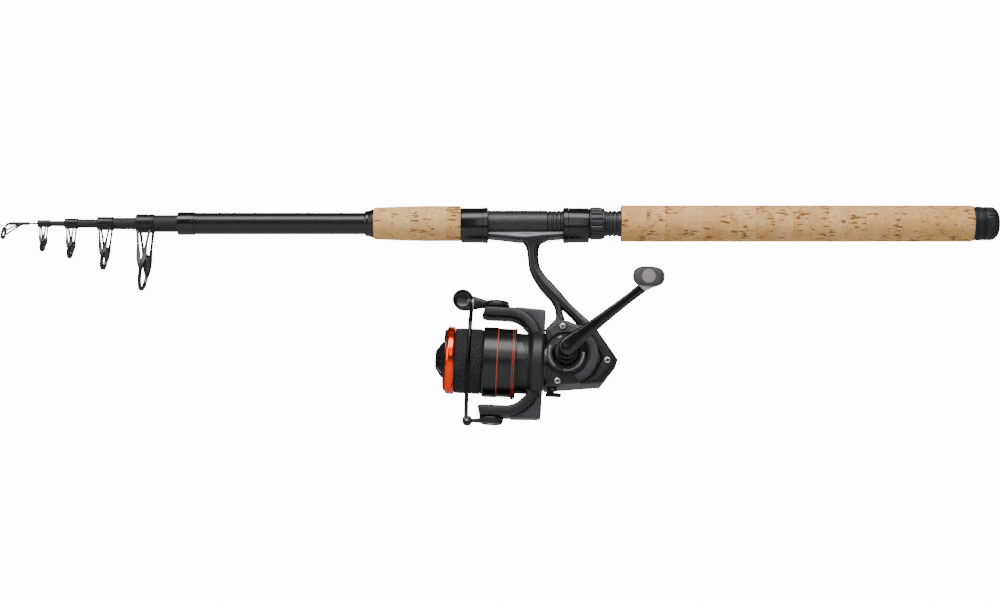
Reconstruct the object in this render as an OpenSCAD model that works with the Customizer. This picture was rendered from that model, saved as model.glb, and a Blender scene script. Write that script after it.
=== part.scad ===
// Telescopic fishing rod with a spinning reel on its seat.
// Rod axis on X, tip towards -X, reel below. Origin on the rod axis at the rear end of the rear grip.

/* [Rod] */
// Outside diameter of the butt blank
blank_d = 15.2; // [14:0.1:17.5]
// Bare length of the butt blank, from its mouth to the winding check
blank_bare = 131; // [80:1:200]
// Diameter of the rear cork grip
grip_d = 25.6; // [24.5:0.1:32]
// Length of the rear cork grip
rear_grip_len = 246; // [180:1:320]
// Length of the front cork grip
fore_grip_len = 61; // [45:1:90]
// How far each inner section slides out
section_travel = 340; // [200:5:380]
// Length of each inner section that stays inside its parent when drawn out
section_overlap = 40; // [30:1:60]
// Radial room left between two sections when fully drawn out
section_clear = 0.05; // [0.03:0.01:0.1]
// Bare length of each inner section that shows when closed, thickest first
section_bare = [16.8, 16.1, 13.8, 10.7]; // lengths of 8 to 40
// Outside diameter of each inner section at its tip, thickest first
section_tip_d = [12, 8.2, 6, 3.8]; // diameters of 1 to 14
// Wall of the butt blank at its mouth and of each inner section at its tip
blank_wall = [1.05, 1.2, 0.7, 0.65, 0.75]; // walls of 0.5 to 1.2
// Diameter of the solid tip section at its end
tip_d = 1.2; // [1:0.1:1.4]
// Bare length of the solid tip section that shows when closed
tip_bare = 6; // [4:0.5:12]

/* [Guides] */
// Length of each guide's sleeve, thickest first
sleeve_len = [12.5, 11.2, 9, 8.5]; // lengths of 6 to 14
// Wall of each guide's sleeve
sleeve_wall = 0.55; // [0.4:0.05:0.8]
// Distance from the rod axis to each ring's centre
ring_drop = [35, 25, 19, 15.2]; // drops of 6 to 40
// Outside diameter of each guide ring
ring_d = [26, 16.4, 12.2, 9.6]; // diameters of 4 to 30
// Radial thickness of the ceramic ring and of its holder, each
ring_wall = 0.85; // [0.7:0.05:0.9]
// Length of the tube that holds the tip ring
tip_tube_len = 14.5; // [10:0.5:20]
// Outside diameter of the tip ring
tip_ring_d = 9; // [8.6:0.1:12]

/* [Reel seat] */
// Diameter of the reel seat barrel
barrel_d = 18.2; // [18:0.1:21]
// Length between the fixed hood and the rear grip
seat_open = 93; // [90:1:120]
// Length of the fixed hood
hood_len = 19.2; // [15:0.5:25]
// Length of the sliding hood
slide_hood_len = 18.2; // [15:0.5:20]
// Length of the locking nut
nut_len = 10.8; // [8:0.2:12]
// Pitch of the seat thread
seat_pitch = 3; // [2:0.5:3]
// Length of the reel foot
foot_len = 63; // [60:1:64]
// How far each end of the foot reaches under its hood
foot_under = 5.3; // [4:0.1:6]
// How far the hoods bulge down to take the foot
hood_drop = 2.7; // [2.5:0.1:4]

/* [Butt] */
// Length of the butt ferrule
ferrule_len = 6.8; // [5:0.2:10]
// Length of the butt cap
cap_len = 10.4; // [8:0.2:16]
// Thickness of the gasket under the butt cap
gasket_t = 1; // [0.6:0.1:2]

/* [Reel] */
// Distance from the rod axis down to the reel's own origin
reel_drop = 101.5; // [96:0.5:125]
// Upward tilt of the spool axis towards the tip
reel_tilt = 3; // [0:0.5:4]
// Diameter of the spool lip
spool_d = 47; // [45:0.5:57]
// Width of the line on the spool
line_w = 19.1; // [16:0.5:23]
// Length of the spool skirt
skirt_len = 23.3; // [22:0.1:25]
// Half of the spool's stroke
half_stroke = 6.5; // [4:0.5:6.5]
// Diameter of the main shaft
shaft_d = 3.7; // [3:0.1:3.7]
// Distance of the drive axle above the spool axis
drive_offset = 6.5; // [6.4:0.1:7]
// Diameter of the drive axle
axle_d = 7; // [6:0.1:7]
// Distance from the drive axle to the knob's axis
crank_len = 64.6; // [50:0.2:66]
// Lift of the crank from straight back
crank_angle = 39.5; // [0:0.5:90]
// Length of the crank knob
knob_len = 25; // [20:0.5:35]
// Half width of the reel housing
body_half = 13; // [13:0.5:16]
// Wall of the reel housing
body_wall = 1.8; // [1.2:0.1:2]
// Diameter of the bail wire
wire_d = 2.7; // [2:0.1:3]

/* [Gears] */
// Teeth on the drive gear
drive_teeth = 40; // [36:1:40]
// Teeth on the pinion
pinion_teeth = 9; // [9:1:9]
// Pitch diameter of the pinion
pinion_d = 6.2; // [6.2:0.1:6.3]
// Teeth on the axle gear that drives the oscillation
axle_teeth = 14; // [14:1:14]
// Teeth on the oscillation gear
osc_teeth = 28; // [28:1:28]
// Module of the two oscillation gears
osc_module = 0.7; // [0.7:0.01:0.72]

/* [Hidden] */
$fn = 64;

glue = 0.03;   // room for glue between parts that are bonded
fit = 0.05;    // radial room of a turning or sliding fit
gap = 0.3;     // room between bodies that must not touch

// Rod stations along X
rear_grip_x = -rear_grip_len;
hood_x = rear_grip_x - seat_open;
fore_grip_x1 = hood_x - hood_len;
fore_grip_x0 = fore_grip_x1 - fore_grip_len;
check_len = 6.2;
mouth_x = fore_grip_x0 - check_len - blank_bare;
collar_len = 11.4;
foot_x0 = hood_x - foot_under;
foot_x1 = foot_x0 + foot_len;
slide_hood_x = foot_x1 - foot_under;
nut_x = slide_hood_x + slide_hood_len;
thread_x = slide_hood_x - 11.5;
blank_r = blank_d / 2;
barrel_r = barrel_d / 2;
grip_r = grip_d / 2;

// Inner sections, k = 0 thickest to 3, and the solid tip as k = 4
parent_tip_r = [blank_r, for (d = section_tip_d) d / 2];
own_tip_r = [for (d = section_tip_d) d / 2, tip_d / 2];
own_bare = [for (b = section_bare) b, tip_bare];
own_sleeve = [for (s = sleeve_len) s, tip_tube_len];
own_out = [for (k = [0:4]) own_bare[k] + own_sleeve[k]];
function sum_to(v, k) = k < 0 ? 0 : v[k] + sum_to(v, k - 1);
function tip_x(k) = mouth_x - sum_to(own_out, k);
function parent_x(k) = k == 0 ? mouth_x : tip_x(k - 1);
function bore_tip_r(k) = parent_tip_r[k] - blank_wall[k];
function taper(k) = (bore_tip_r(k) - own_tip_r[k] - section_clear) / (own_out[k] + section_travel);
function base_x(k) = parent_x(k) + section_travel + section_overlap;
function outer_r(k, x) = own_tip_r[k] + taper(k) * (x - tip_x(k));
function bore_r(k, x) = bore_tip_r(k) + taper(k) * (x - parent_x(k));

// Reel stations along the spool axis, x towards the butt
reel_x = foot_x0 + 58.5;
shaft_r = shaft_d / 2;
axle_r = axle_d / 2;
skirt_x0 = -57.1;
skirt_x1 = skirt_x0 + skirt_len;
line_x0 = skirt_x0 - line_w;
lip_t = 5.8;
lip_x0 = line_x0 - lip_t;
lip_r = spool_d / 2;
line_r = lip_r - 1.1;
arbor_r = 15.5;
arbor_wall = 1.5;
skirt_r = lip_r + 0.7;
skirt_wall = 1.6;
web_x = line_x0 + 6.2;
drum_r = skirt_r - skirt_wall - 1.75;
drum_wall = 2;
rotor_front = -46;
rotor_rear = -15;
arm_z0 = lip_r + 7.5;
arm_z1 = arm_z0 + 7.3;
arm_half_y = 10;
pivot_x = -49;
bail_x = -66;
bail_hub_r = 8.8;
bail_hub_t = 4.4;
hub_z = arm_z1 + 0.3;
spring_z = (arm_z0 + arm_z1) / 2;
bail_r = arm_z1 + 2.25;
bail_cy = -6.65;
roller_x = pivot_x - 24;
roller_z = arm_z1 + 3.4;
cone_r = 7;
lug_x = bail_x + 0.5;
lug_z = -(arm_z1 + 3.2);
neck_r = drum_r - drum_wall - 1;
neck_x = -20;
snout_r = 12;
snout_x = -30.5;
split_y = -8;
cover_y = -body_half - 1.5;
boss_y = -23;
crank_y = -41;
crank_tip_y = -54;
knob_y0 = crank_tip_y - 4.5;
knob_y1 = knob_y0 - knob_len;
journal_r = 3;
bearing_w = 4;
bearing_r = 6.5;
osc_y0 = 4.5;
osc_y1 = 6.7;
osc_z = 4;
osc_distance = osc_module * (axle_teeth + osc_teeth) / 2;
osc_dz = drive_offset - osc_z;
osc_x = sqrt(osc_distance * osc_distance - osc_dz * osc_dz);
slider_half = 2.8;
slider_y1 = 3.2;
pin_r = 1.4;
mesh_x = pinion_d / 2 * drive_teeth / pinion_teeth;
gear_r0 = sqrt(pow(mesh_x - 1.7, 2) + drive_offset * drive_offset);
gear_r1 = sqrt(pow(mesh_x + 1.2, 2) + drive_offset * drive_offset);
stem_top = reel_drop - barrel_r - 2.3;
screw_spots = [[-3.3, 25.1], [28.3, 3.3], [-5.1, -13]];

// ---------- helpers ----------
// Lays children made around Z along X, their Z becoming X
module along_x() { rotate([0, 90, 0]) children(); }
// Lays children made around Z along Y, their Z becoming Y
module along_y() { rotate([-90, 0, 0]) children(); }
// A turned part around X from [radius, x] points
module turned_x(points) { along_x() rotate_extrude() polygon(points); }
module rod_x(x0, x1, r) { translate([x0, 0, 0]) along_x() cylinder(h = x1 - x0, r = r); }
module rod_y(y0, y1, r, x = 0, z = 0) { translate([x, y0, z]) along_y() cylinder(h = y1 - y0, r = r); }
module rod_z(z0, z1, r, x = 0, y = 0) { translate([x, y, z0]) cylinder(h = z1 - z0, r = r); }
module tube_x(x0, x1, r1, r0) { turned_x([[r0, x0], [r1, x0], [r1, x1], [r0, x1]]); }
// A plate with an outline in X and Z, from y0 to y1
module plate(points, y0, y1) {
    translate([0, y1, 0]) rotate([90, 0, 0]) linear_extrude(height = y1 - y0) polygon(points);
}
module reel_frame() { translate([reel_x, 0, -reel_drop]) rotate([0, reel_tilt, 0]) children(); }
module drive_frame() { reel_frame() translate([0, 0, drive_offset]) children(); }

function unit(v) = v / norm(v);
// An outline whose corners, given as [x, z, radius], are rounded
function rounded(c, steps = 5) = [for (i = [0:len(c) - 1])
    let (p = [c[i][0], c[i][1]], a = c[(i + len(c) - 1) % len(c)], b = c[(i + 1) % len(c)],
         u = unit([a[0], a[1]] - p), v = unit([b[0], b[1]] - p),
         half = acos(max(-1, min(1, u * v))) / 2, cut = c[i][2] / tan(half))
    for (s = [0:steps]) let (t = s / steps)
        pow(1 - t, 2) * (p + u * cut) + 2 * t * (1 - t) * p + t * t * (p + v * cut)];
// A spur gear's outline with straight-sided teeth, one tooth pointing along +X
function gear_outline(n, r, add, ded, thick) = [for (i = [0:n - 1]) let (a = 360 / n * i, w = 180 / n * thick)
    for (p = [[r - ded, -w * 0.72 - 1], [r + add, -w * 0.28], [r + add, w * 0.28], [r - ded, w * 0.72 + 1]])
        [p[0] * cos(a + p[1]), p[0] * sin(a + p[1])]];

// ---------- rod ----------
module butt_blank() {
    deep = base_x(0) + 6;
    x1 = ferrule_len - 1;
    color("#17181a") turned_x([[bore_tip_r(0), mouth_x], [blank_r, mouth_x], [blank_r, x1],
        [bore_r(0, deep), x1], [bore_r(0, deep), deep]]);
}
module butt_collar() {
    color("#202224") tube_x(mouth_x, mouth_x + collar_len, blank_r + 0.5, blank_r + glue);
}
module winding_check() {
    x0 = fore_grip_x0 - check_len;
    color("#111111") turned_x([[blank_r + glue, x0], [blank_r + 1.1, x0], [blank_r + 1.4, x0 + 1],
        [blank_r + 1.4, x0 + 2.4], [blank_r + 2.5, fore_grip_x0 - 0.6], [blank_r + 2.5, fore_grip_x0],
        [blank_r + glue, fore_grip_x0]]);
}
module fore_grip() {
    color("#d8b48a") turned_x([[blank_r + glue, fore_grip_x0], [grip_r - 2.2, fore_grip_x0],
        [grip_r - 1.6, fore_grip_x0 + 1], [grip_r - 0.9, fore_grip_x0 + fore_grip_len * 0.3],
        [grip_r - 0.4, fore_grip_x0 + fore_grip_len * 0.6], [grip_r - 0.5, fore_grip_x1],
        [blank_r + glue, fore_grip_x1]]);
}
module rear_grip() {
    color("#d8b48a") tube_x(rear_grip_x, 0, grip_r, blank_r + glue);
}
module seat_barrel() {
    x0 = fore_grip_x1 + 0.5;
    turns = floor((rear_grip_x - thread_x) / seat_pitch);
    color("#26282b") difference() {
        tube_x(x0, rear_grip_x, barrel_r, blank_r + glue);
        for (i = [0:turns - 1]) translate([thread_x + seat_pitch * i, 0, 0])
            turned_x([[barrel_r - 0.6, 0.2 * seat_pitch], [barrel_r + 1, 0],
                [barrel_r + 1, 0.7 * seat_pitch], [barrel_r - 0.6, 0.5 * seat_pitch]]);
    }
}
// The outside of a hood, round above and bulging down over the foot
module hood_shell(x0, x1, r) {
    rod_x(x0, x1, r);
    translate([0, 0, -hood_drop]) rod_x(x0, x1, r);
    translate([x0, -r, -hood_drop]) cube([x1 - x0, 2 * r, hood_drop]);
}
hood_r = barrel_r + 1.8;
foot_r = barrel_r + 2.5;
pocket_r = barrel_r + 2.4;
foot_half = 6.5;
module foot_pocket(x0, x1) {
    w = foot_half + 0.5;
    intersection() {
        rod_x(x0, x1, pocket_r);
        translate([x0, -w, -2 * pocket_r]) cube([x1 - x0, 2 * w, 2 * pocket_r]);
    }
}
module fixed_hood() {
    color("#17181a") difference() {
        union() {
            hood_shell(fore_grip_x1, hood_x, hood_r);
            hood_shell(hood_x - 3.6, hood_x, hood_r + 0.35);
        }
        rod_x(fore_grip_x1 - 1, hood_x + 1, barrel_r + glue);
        foot_pocket(hood_x - foot_under - 1.2, hood_x + 1);
    }
}
module movable_hood() {
    color("#17181a") difference() {
        union() {
            hood_shell(slide_hood_x, nut_x, hood_r);
            hood_shell(slide_hood_x, slide_hood_x + 2.6, hood_r + 0.35);
        }
        rod_x(slide_hood_x - 1, nut_x + 1, barrel_r + fit);
        foot_pocket(slide_hood_x - 1, slide_hood_x + foot_under + 1.2);
    }
}
module lock_nut() {
    color("#2a2c30") difference() {
        union() {
            rod_x(nut_x + 0.2, nut_x + nut_len, hood_r);
            for (i = [0:15]) rotate([i * 22.5, 0, 0]) translate([nut_x + 1.4, -1.3, hood_r - 1])
                cube([nut_len - 2.6, 2.6, 1.45]);
        }
        rod_x(nut_x - 1, nut_x + nut_len + 1, barrel_r + fit);
    }
}
module butt_ferrule() {
    color("#151515") tube_x(0, ferrule_len, grip_r - 0.8, blank_r + glue);
}
module butt_gasket() {
    color("#3a3a3a") tube_x(ferrule_len + 0.02, ferrule_len + gasket_t, grip_r - 1.3, plug_r + 0.2);
}
plug_r = bore_r(0, base_x(0) + 6) - fit;
module butt_cap() {
    x0 = ferrule_len + gasket_t + 0.02;
    x1 = ferrule_len + gasket_t + cap_len;
    r = grip_r - 1;
    color("#111111") union() {
        turned_x([[0, -6], [plug_r - 0.8, -6], [plug_r, -5], [plug_r, x0], [r, x0], [r, x0 + cap_len * 0.55],
            [r - 1.6, x1 - 1.2], [r - 3.2, x1], [0, x1]]);
        for (i = [0:19]) rotate([i * 18, 0, 0]) translate([x0 + 1.6, -0.9, r - 1])
            cube([cap_len * 0.55 - 2.4, 1.8, 1.25]);
    }
}

// ---------- telescopic sections and guides ----------
module inner_blank(k) {
    color("#1b1c1f") turned_x([[bore_r(k + 1, tip_x(k)), tip_x(k)], [outer_r(k, tip_x(k)), tip_x(k)],
        [outer_r(k, base_x(k)), base_x(k)], [bore_r(k + 1, base_x(k)), base_x(k)]]);
}
module tip_blank() {
    x0 = tip_x(4) + 2;
    color("#1b1c1f") turned_x([[0, x0], [outer_r(4, x0), x0], [outer_r(4, base_x(4)), base_x(4)],
        [0, base_x(4)]]);
}
// One leg of a guide frame, from the sleeve's side to the ring holder's side
module guide_leg(x0, x1, y0, y1, z0, z1, r) {
    hull() {
        translate([x0, y0, z0]) sphere(r = r, $fn = 12);
        translate([x1, y1, z1]) sphere(r = r, $fn = 12);
    }
}
module guide_frame(k) {
    x0 = tip_x(k);
    x1 = x0 + sleeve_len[k];
    bore = outer_r(k, x1) + glue;
    r = bore + sleeve_wall;
    hold_r = ring_d[k] / 2;
    mid = (x0 + x1) / 2;
    leg = 0.35 + ring_d[k] * 0.022;
    color("#1c1d20") {
        tube_x(x0, x1, r, bore);
        difference() {
            union() {
                for (side = [-1, 1], end = [-1, 1])
                    guide_leg(end < 0 ? x0 + 2 : x1 - 2, mid + end * leg * 0.6, side * r * 0.78,
                        side * hold_r * 0.97, -r * 0.75, -ring_drop[k] + hold_r * 0.1, leg);
                translate([mid, 0, -ring_drop[k]]) rod_x(-1.1, 1.1, hold_r);
            }
            translate([mid, 0, -ring_drop[k]]) rod_x(-4, 4, hold_r - ring_wall);
            rod_x(x0, x1, bore);
        }
    }
}
module guide_ring(k) {
    mid = tip_x(k) + sleeve_len[k] / 2;
    r = ring_d[k] / 2 - ring_wall;
    color("#4a4c50") translate([mid, 0, -ring_drop[k]])
        turned_x([[r - ring_wall + 0.3, -1.3], [r - glue / 2, -1.3], [r - glue / 2, 1.3],
            [r - ring_wall + 0.3, 1.3], [r - ring_wall, 0.6], [r - ring_wall, -0.6]]);
}
tip_lean = 10;
tip_ring_pos = [tip_x(4) - 3.2, 0, -6.9];
module at_tip_ring() { translate(tip_ring_pos) rotate([0, tip_lean, 0]) children(); }
module tip_frame() {
    x0 = tip_x(4) + 0.5;
    x1 = tip_x(4) + tip_tube_len;
    bore = outer_r(4, x1) + glue;
    hold = tip_ring_d / 2;
    color("#1c1d20") difference() {
        union() {
            rod_x(x0, x1, bore + 0.45);
            at_tip_ring() rod_x(-0.7, 0.7, hold);
            hull() {
                translate([x0 + 0.6, 0, 0]) sphere(r = 0.6, $fn = 12);
                at_tip_ring() translate([0, 0, hold - 0.3]) sphere(r = 0.6, $fn = 12);
            }
            for (side = [-1, 1]) guide_leg(x0 + 8.5, tip_ring_pos[0] + 0.4, side * 1.2, side * (hold - 0.3),
                -0.7, tip_ring_pos[2] - 0.3, 0.42);
        }
        rod_x(tip_x(4) + 1.8, x1 + 1, bore);
        at_tip_ring() rod_x(-3, 3, hold - 0.6);
    }
}
module tip_ring() {
    r = tip_ring_d / 2 - 0.6;
    color("#4a4c50") at_tip_ring() turned_x([[r - 0.6, -0.8], [r - glue / 2, -0.8], [r - glue / 2, 0.8],
        [r - 0.6, 0.8], [r - 0.8, 0.4], [r - 0.8, -0.4]]);
}

// ---------- reel housing ----------
body_outline = rounded([[-14, -17, 1], [-2, -15.4, 2], [10, -13.9, 2], [24.9, -12, 2.5], [35.8, 3.6, 2.2],
    [16.9, 29.8, 1], [9, 27.4, 1], [0, 30.5, 1], [-7, 30.4, 4], [-14.4, 22.4, 2]]);
cavity_outline = rounded([[-14.5, -14, 1], [10, -12, 1], [22, -10.2, 2], [31, 3.4, 3], [17, 22.3, 4],
    [8, 25.2, 4], [-8, 24.4, 4], [-14.5, 17, 2]]);
module foot() {
    intersection() {
        turned_x([[barrel_r + glue, foot_x0], [pocket_r - 0.7, foot_x0], [pocket_r - 0.4, foot_x0 + foot_under],
            [foot_r + 0.9, foot_x0 + foot_len * 0.4], [foot_r + 0.9, foot_x0 + foot_len * 0.6],
            [pocket_r - 0.4, foot_x1 - foot_under], [pocket_r - 0.7, foot_x1], [barrel_r + glue, foot_x1]]);
        translate([foot_x0 - 1, -foot_half, -2 * foot_r]) cube([foot_len + 2, 2 * foot_half, 2 * foot_r]);
    }
}
module stem() {
    t = stem_top;
    plate(rounded([[-46, t + 0.8, 0.5], [-34, t - 4.6, 5], [-30.2, t - 8.5, 2], [-28.7, t - 22, 4],
        [-22.9, t - 32.5, 4], [-11.8, 46.1, 4], [-8.2, 34, 4], [-9, 24, 2], [0, 20, 2], [16, 24, 1],
        [17.2, 29.4, 1], [1, 44.4, 4], [-11.2, 55.7, 4], [-16.1, t - 28.5, 4], [-21.5, t - 19, 4],
        [-22.7, t - 10, 2], [-19.5, t - 4.6, 3], [-7, t - 1.8, 0.5]]), -5.2, 5.2);
}
module stem_window() {
    plate(rounded([[-6, 42.5, 1], [6.3, 28.8, 0.8], [-0.1, 31.4, 1]]), -10, 10);
}
module reel_body() {
    lever_x = -8.5;
    wall_y = body_half - body_wall;
    color("#3b3d41") {
        difference() {
            union() {
                foot();
                reel_frame() {
                    plate(body_outline, split_y, body_half);
                    rod_x(neck_x, -13, neck_r);
                    rod_x(snout_x, neck_x + 1, snout_r);
                    stem();
                    rod_y(body_half - 1, body_half + 2, 11, 0, drive_offset);
                    rod_z(-18.2, -12, 3.4, lever_x, 0);
                }
            }
            rod_x(foot_x0 - 10, foot_x1 + 10, barrel_r + glue);
            reel_frame() {
                plate(cavity_outline, split_y - 1, wall_y);
                rod_x(neck_x + 1.5, -12, neck_r - 1.5);
                rod_x(snout_x - 1, snout_x + 5.6, 9.5 + glue);
                rod_x(snout_x, neck_x + 2, bearing_r + glue);
                rod_y(wall_y - 1, body_half + 3, axle_r + 0.4, 0, drive_offset);
                rod_y(wall_y - 1, body_half - 0.3, bearing_r + glue, 0, drive_offset);
                rod_z(-19, -13.5, 1.5 + fit, lever_x, 0);
                stem_window();
            }
        }
        reel_frame() {
            rod_y(osc_y1 + 0.3, wall_y + 0.5, 3.2, osc_x, osc_z);
            rod_y(osc_y0 + 0.4, osc_y1 + 1, 1.2, osc_x, osc_z);
            difference() {
                rod_y(wall_y - 2.5, wall_y + 0.5, 8, 0, drive_offset);
                rod_y(wall_y - 3, wall_y + 1, bearing_r + glue, 0, drive_offset);
            }
        }
    }
}
cover_outline = rounded([[-14.2, -16.9, 0.8], [-2, -15.4, 2], [10, -13.9, 1], [19, -7, 4], [25, 4.5, 6],
    [14.2, 24, 5], [-1, 28.4, 4], [-7, 28.8, 3], [-14.2, 21.8, 2]]);
module side_cover() {
    c = drive_offset;
    inner_y = cover_y + body_wall;
    color("#3b3d41") reel_frame() difference() {
        union() {
            difference() {
                union() {
                    plate(cover_outline, cover_y, split_y - glue);
                    rod_y(cover_y - 1.5, cover_y + 1, 15.4, 0, c);
                }
                intersection() {
                    plate(cavity_outline, inner_y, split_y + 1);
                    plate(rounded([[-11.2, -14.5, 1], [8, -12.4, 1], [16, -7, 4], [22.4, 4.5, 6],
                        [13, 21.5, 4], [-2, 26, 4], [-11.2, 19, 2]]), inner_y, split_y + 1);
                }
                rod_y(cover_y - 2, cover_y - 0.3, 13.6, 0, c);
                for (s = [screw_spots[0], screw_spots[2]]) rod_y(cover_y - 1, cover_y + 1.2, 2.25, s[0], s[1]);
            }
            rod_y(boss_y, inner_y - 0.5, 8.2, 0, c);
            rod_y(inner_y - 0.5, inner_y + 3, 8, 0, c);
        }
        rod_y(boss_y - 1, split_y + 1, axle_r + 0.4, 0, c);
        rod_x(neck_x, -13 + glue, neck_r + glue);
        rod_x(neck_x - 1, rotor_rear + gap + 0.2, 2 * drum_r);
        rod_y(inner_y - 0.3, split_y + 1, bearing_r + glue, 0, c);
    }
}
module rear_guard() {
    color("#101011") reel_frame() difference() {
        plate(rounded([[10, -13.9, 0.5], [24.9, -12, 2.5], [35.8, 3.6, 2.2], [17.6, 28.2, 1],
            [15, 24.6, 1], [25.6, 4.5, 6], [19.6, -7.2, 4]]), cover_y + 0.8, split_y - glue);
        plate(rounded([[21, -9.8, 1], [24, -9.6, 2], [32.5, 3.6, 2], [21, 20.4, 1], [28.6, 4.5, 4]]),
            cover_y + body_wall + 1, split_y + 1);
        rod_y(cover_y, cover_y + 2, 2.25, screw_spots[1][0], screw_spots[1][1]);
    }
}
module cover_screws() {
    color("#b9bbbd") reel_frame() for (i = [0:2])
        translate([screw_spots[i][0], i == 1 ? 0.8 : 0, screw_spots[i][1]]) difference() {
            rod_y(cover_y - 0.1, cover_y + 1.15, 2.1);
            for (a = [30, 120]) rotate([0, a, 0]) translate([-1.3, cover_y - 0.5, -0.3]) cube([2.6, 1, 0.6]);
        }
}
module bearing_ring(w, r1, r0) { rotate_extrude() polygon([[r0, 0], [r1, 0], [r1, w], [r0, w]]); }
module drive_bearings() {
    color("#c9cbce") drive_frame() for (y = [cover_y + body_wall, body_half - body_wall - 2.7])
        translate([0, y, 0]) along_y() bearing_ring(bearing_w - 0.2, bearing_r, axle_r + fit);
}
module pinion_bearing() {
    color("#c9cbce") reel_frame() tube_x(snout_x + 5.8, snout_x + 5.8 + bearing_w, bearing_r, journal_r + fit);
}
module one_way_clutch() {
    color("#8d9095") reel_frame() tube_x(snout_x + 0.1, snout_x + 5.5, 9.5, journal_r + fit);
}
module reverse_lever() {
    color("#17181a") reel_frame() {
        rod_z(-20, -14, 1.5, -8.5, 0);
        plate(rounded([[-12.3, -19, 0.6], [-12.6, -21.9, 0.8], [-2, -21.9, 0.8], [-1.9, -19, 0.6]]), -2.2, 2.2);
    }
}

// ---------- drive ----------
face_z = -pinion_d / 2;
module drive_gear() {
    color("#c2b48c") drive_frame() {
        difference() {
            union() {
                rod_y(face_z - 3.4, face_z - 1, gear_r1);
                rod_y(face_z - 3.4, face_z + 0.2, 8);
            }
            for (a = [0:60:300]) rotate([0, a, 0]) rod_y(face_z - 4, face_z + 1, 1.6, 11, 0);
        }
        for (i = [0:drive_teeth - 1]) rotate([0, 360 / drive_teeth * i, 0])
            translate([-mesh_x - 1.2, face_z, -drive_offset]) rotate([90, 0, 90])
                linear_extrude(height = 2.9)
                    polygon([[-1.1, -0.46], [0.45, -0.19], [0.45, 0.19], [-1.1, 0.46]]);
        rod_y(crank_y + 3, body_half + 4, axle_r);
        translate([0, osc_y1 - 0.2, 0]) rotate([90, 0, 0]) rotate([0, 0, atan2(-osc_dz, osc_x)])
            linear_extrude(height = osc_y1 - osc_y0 - 0.2)
                polygon(gear_outline(axle_teeth, axle_teeth * osc_module / 2, 0.6, 0.75, 0.72));
    }
}
module crank_arm() {
    tip = [crank_len * cos(crank_angle), crank_len * sin(crank_angle)];
    color("#1a1b1d") drive_frame() difference() {
        union() {
            rod_y(crank_y - 1, boss_y - 1, 6.2);
            hull() {
                rod_y(crank_y - 4.5, crank_y + 1, 6.2);
                rod_y(crank_tip_y - 4, crank_tip_y + 1, 3.4, tip[0], tip[1]);
            }
        }
        rod_y(crank_y + 2.8, boss_y + 1, axle_r + glue);
        rod_y(crank_tip_y - 5, crank_tip_y - 1, 1.9 + glue, tip[0], tip[1]);
    }
}
module at_knob() {
    drive_frame() translate([crank_len * cos(crank_angle), 0, crank_len * sin(crank_angle)]) children();
}
module knob_axle() {
    color("#b9bbbd") at_knob() {
        rod_y(knob_y1 + 2.5, crank_tip_y - 1.1, 1.9);
        rod_y(knob_y1 + 1.6, knob_y1 + 2.6, 3);
    }
}
module crank_knob() {
    color("#34363a") at_knob() difference() {
        hull() {
            translate([0, knob_y0, 0]) rotate([90, 0, 0]) cylinder(h = 4, r = 4.6, $fn = 32);
            for (s = [-1, 1]) translate([s * 3.6, knob_y1 + 4, 0]) rotate([90, 0, 0])
                cylinder(h = 4, r = 6.8, $fn = 32);
        }
        rod_y(knob_y1 + 2, knob_y0 + 1, 1.9 + fit);
        rod_y(knob_y1 - 1, knob_y1 + 3, 4.6 + fit);
    }
}
module knob_cap() {
    color("#77716f") at_knob() rod_y(knob_y1 - 0.2, knob_y1 + 1.2, 4.6);
}
module handle_cap() {
    color("#1a1b1d") drive_frame() difference() {
        union() {
            rod_y(body_half + 2.4, body_half + 7, 7.6);
            rod_y(body_half + 7, body_half + 8, 6.6);
        }
        rod_y(body_half + 2, body_half + 4.1, axle_r + glue);
    }
}
module pinion() {
    color("#c9a545") reel_frame() difference() {
        union() {
            translate([-mesh_x - 2.2, 0, 0]) along_x() rotate([0, 0, 90]) linear_extrude(height = 5)
                polygon(gear_outline(pinion_teeth, pinion_d / 2, 0.55, 0.65, 0.57));
            rod_x(rotor_front - 4, -mesh_x - 2.1, journal_r);
            rod_x(-mesh_x - 2.5, -mesh_x - 2.2, journal_r + 0.5);
        }
        rod_x(rotor_front - 5, 0, shaft_r + fit);
    }
}

// ---------- rotor and bail ----------
// Outline of one rotor arm with its shoulder, above the spool axis
function shoulder(z, x0, x1, r, n = 7) = [for (i = [0:n])
    [x1 - r + r * sin(90 * i / n), z - r + r * cos(90 * i / n)]];
module rotor_arm() {
    outer = shoulder(arm_z1, pivot_x, rotor_rear, 21);
    inner = shoulder(arm_z0, pivot_x, rotor_rear - 6.8, 17);
    front = pivot_x - bail_hub_r;
    low = 15;
    plate(concat([[front + 2, arm_z1]], outer, [[rotor_rear, low], [rotor_rear - 6.8, low]],
        [for (i = [len(inner) - 1:-1:0]) inner[i]], [[front, arm_z0], [front, arm_z1 - 2]]),
        -arm_half_y, arm_half_y);
    plate(rounded([[-39, arm_z1 + 0.7, 1], [rotor_rear, arm_z1 - 0.4, 3], [rotor_rear, 16, 1], [-21, 16, 1],
        [-30, arm_z0 + 2, 1]]), -arm_half_y + 4, arm_half_y - 4);
}
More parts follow.
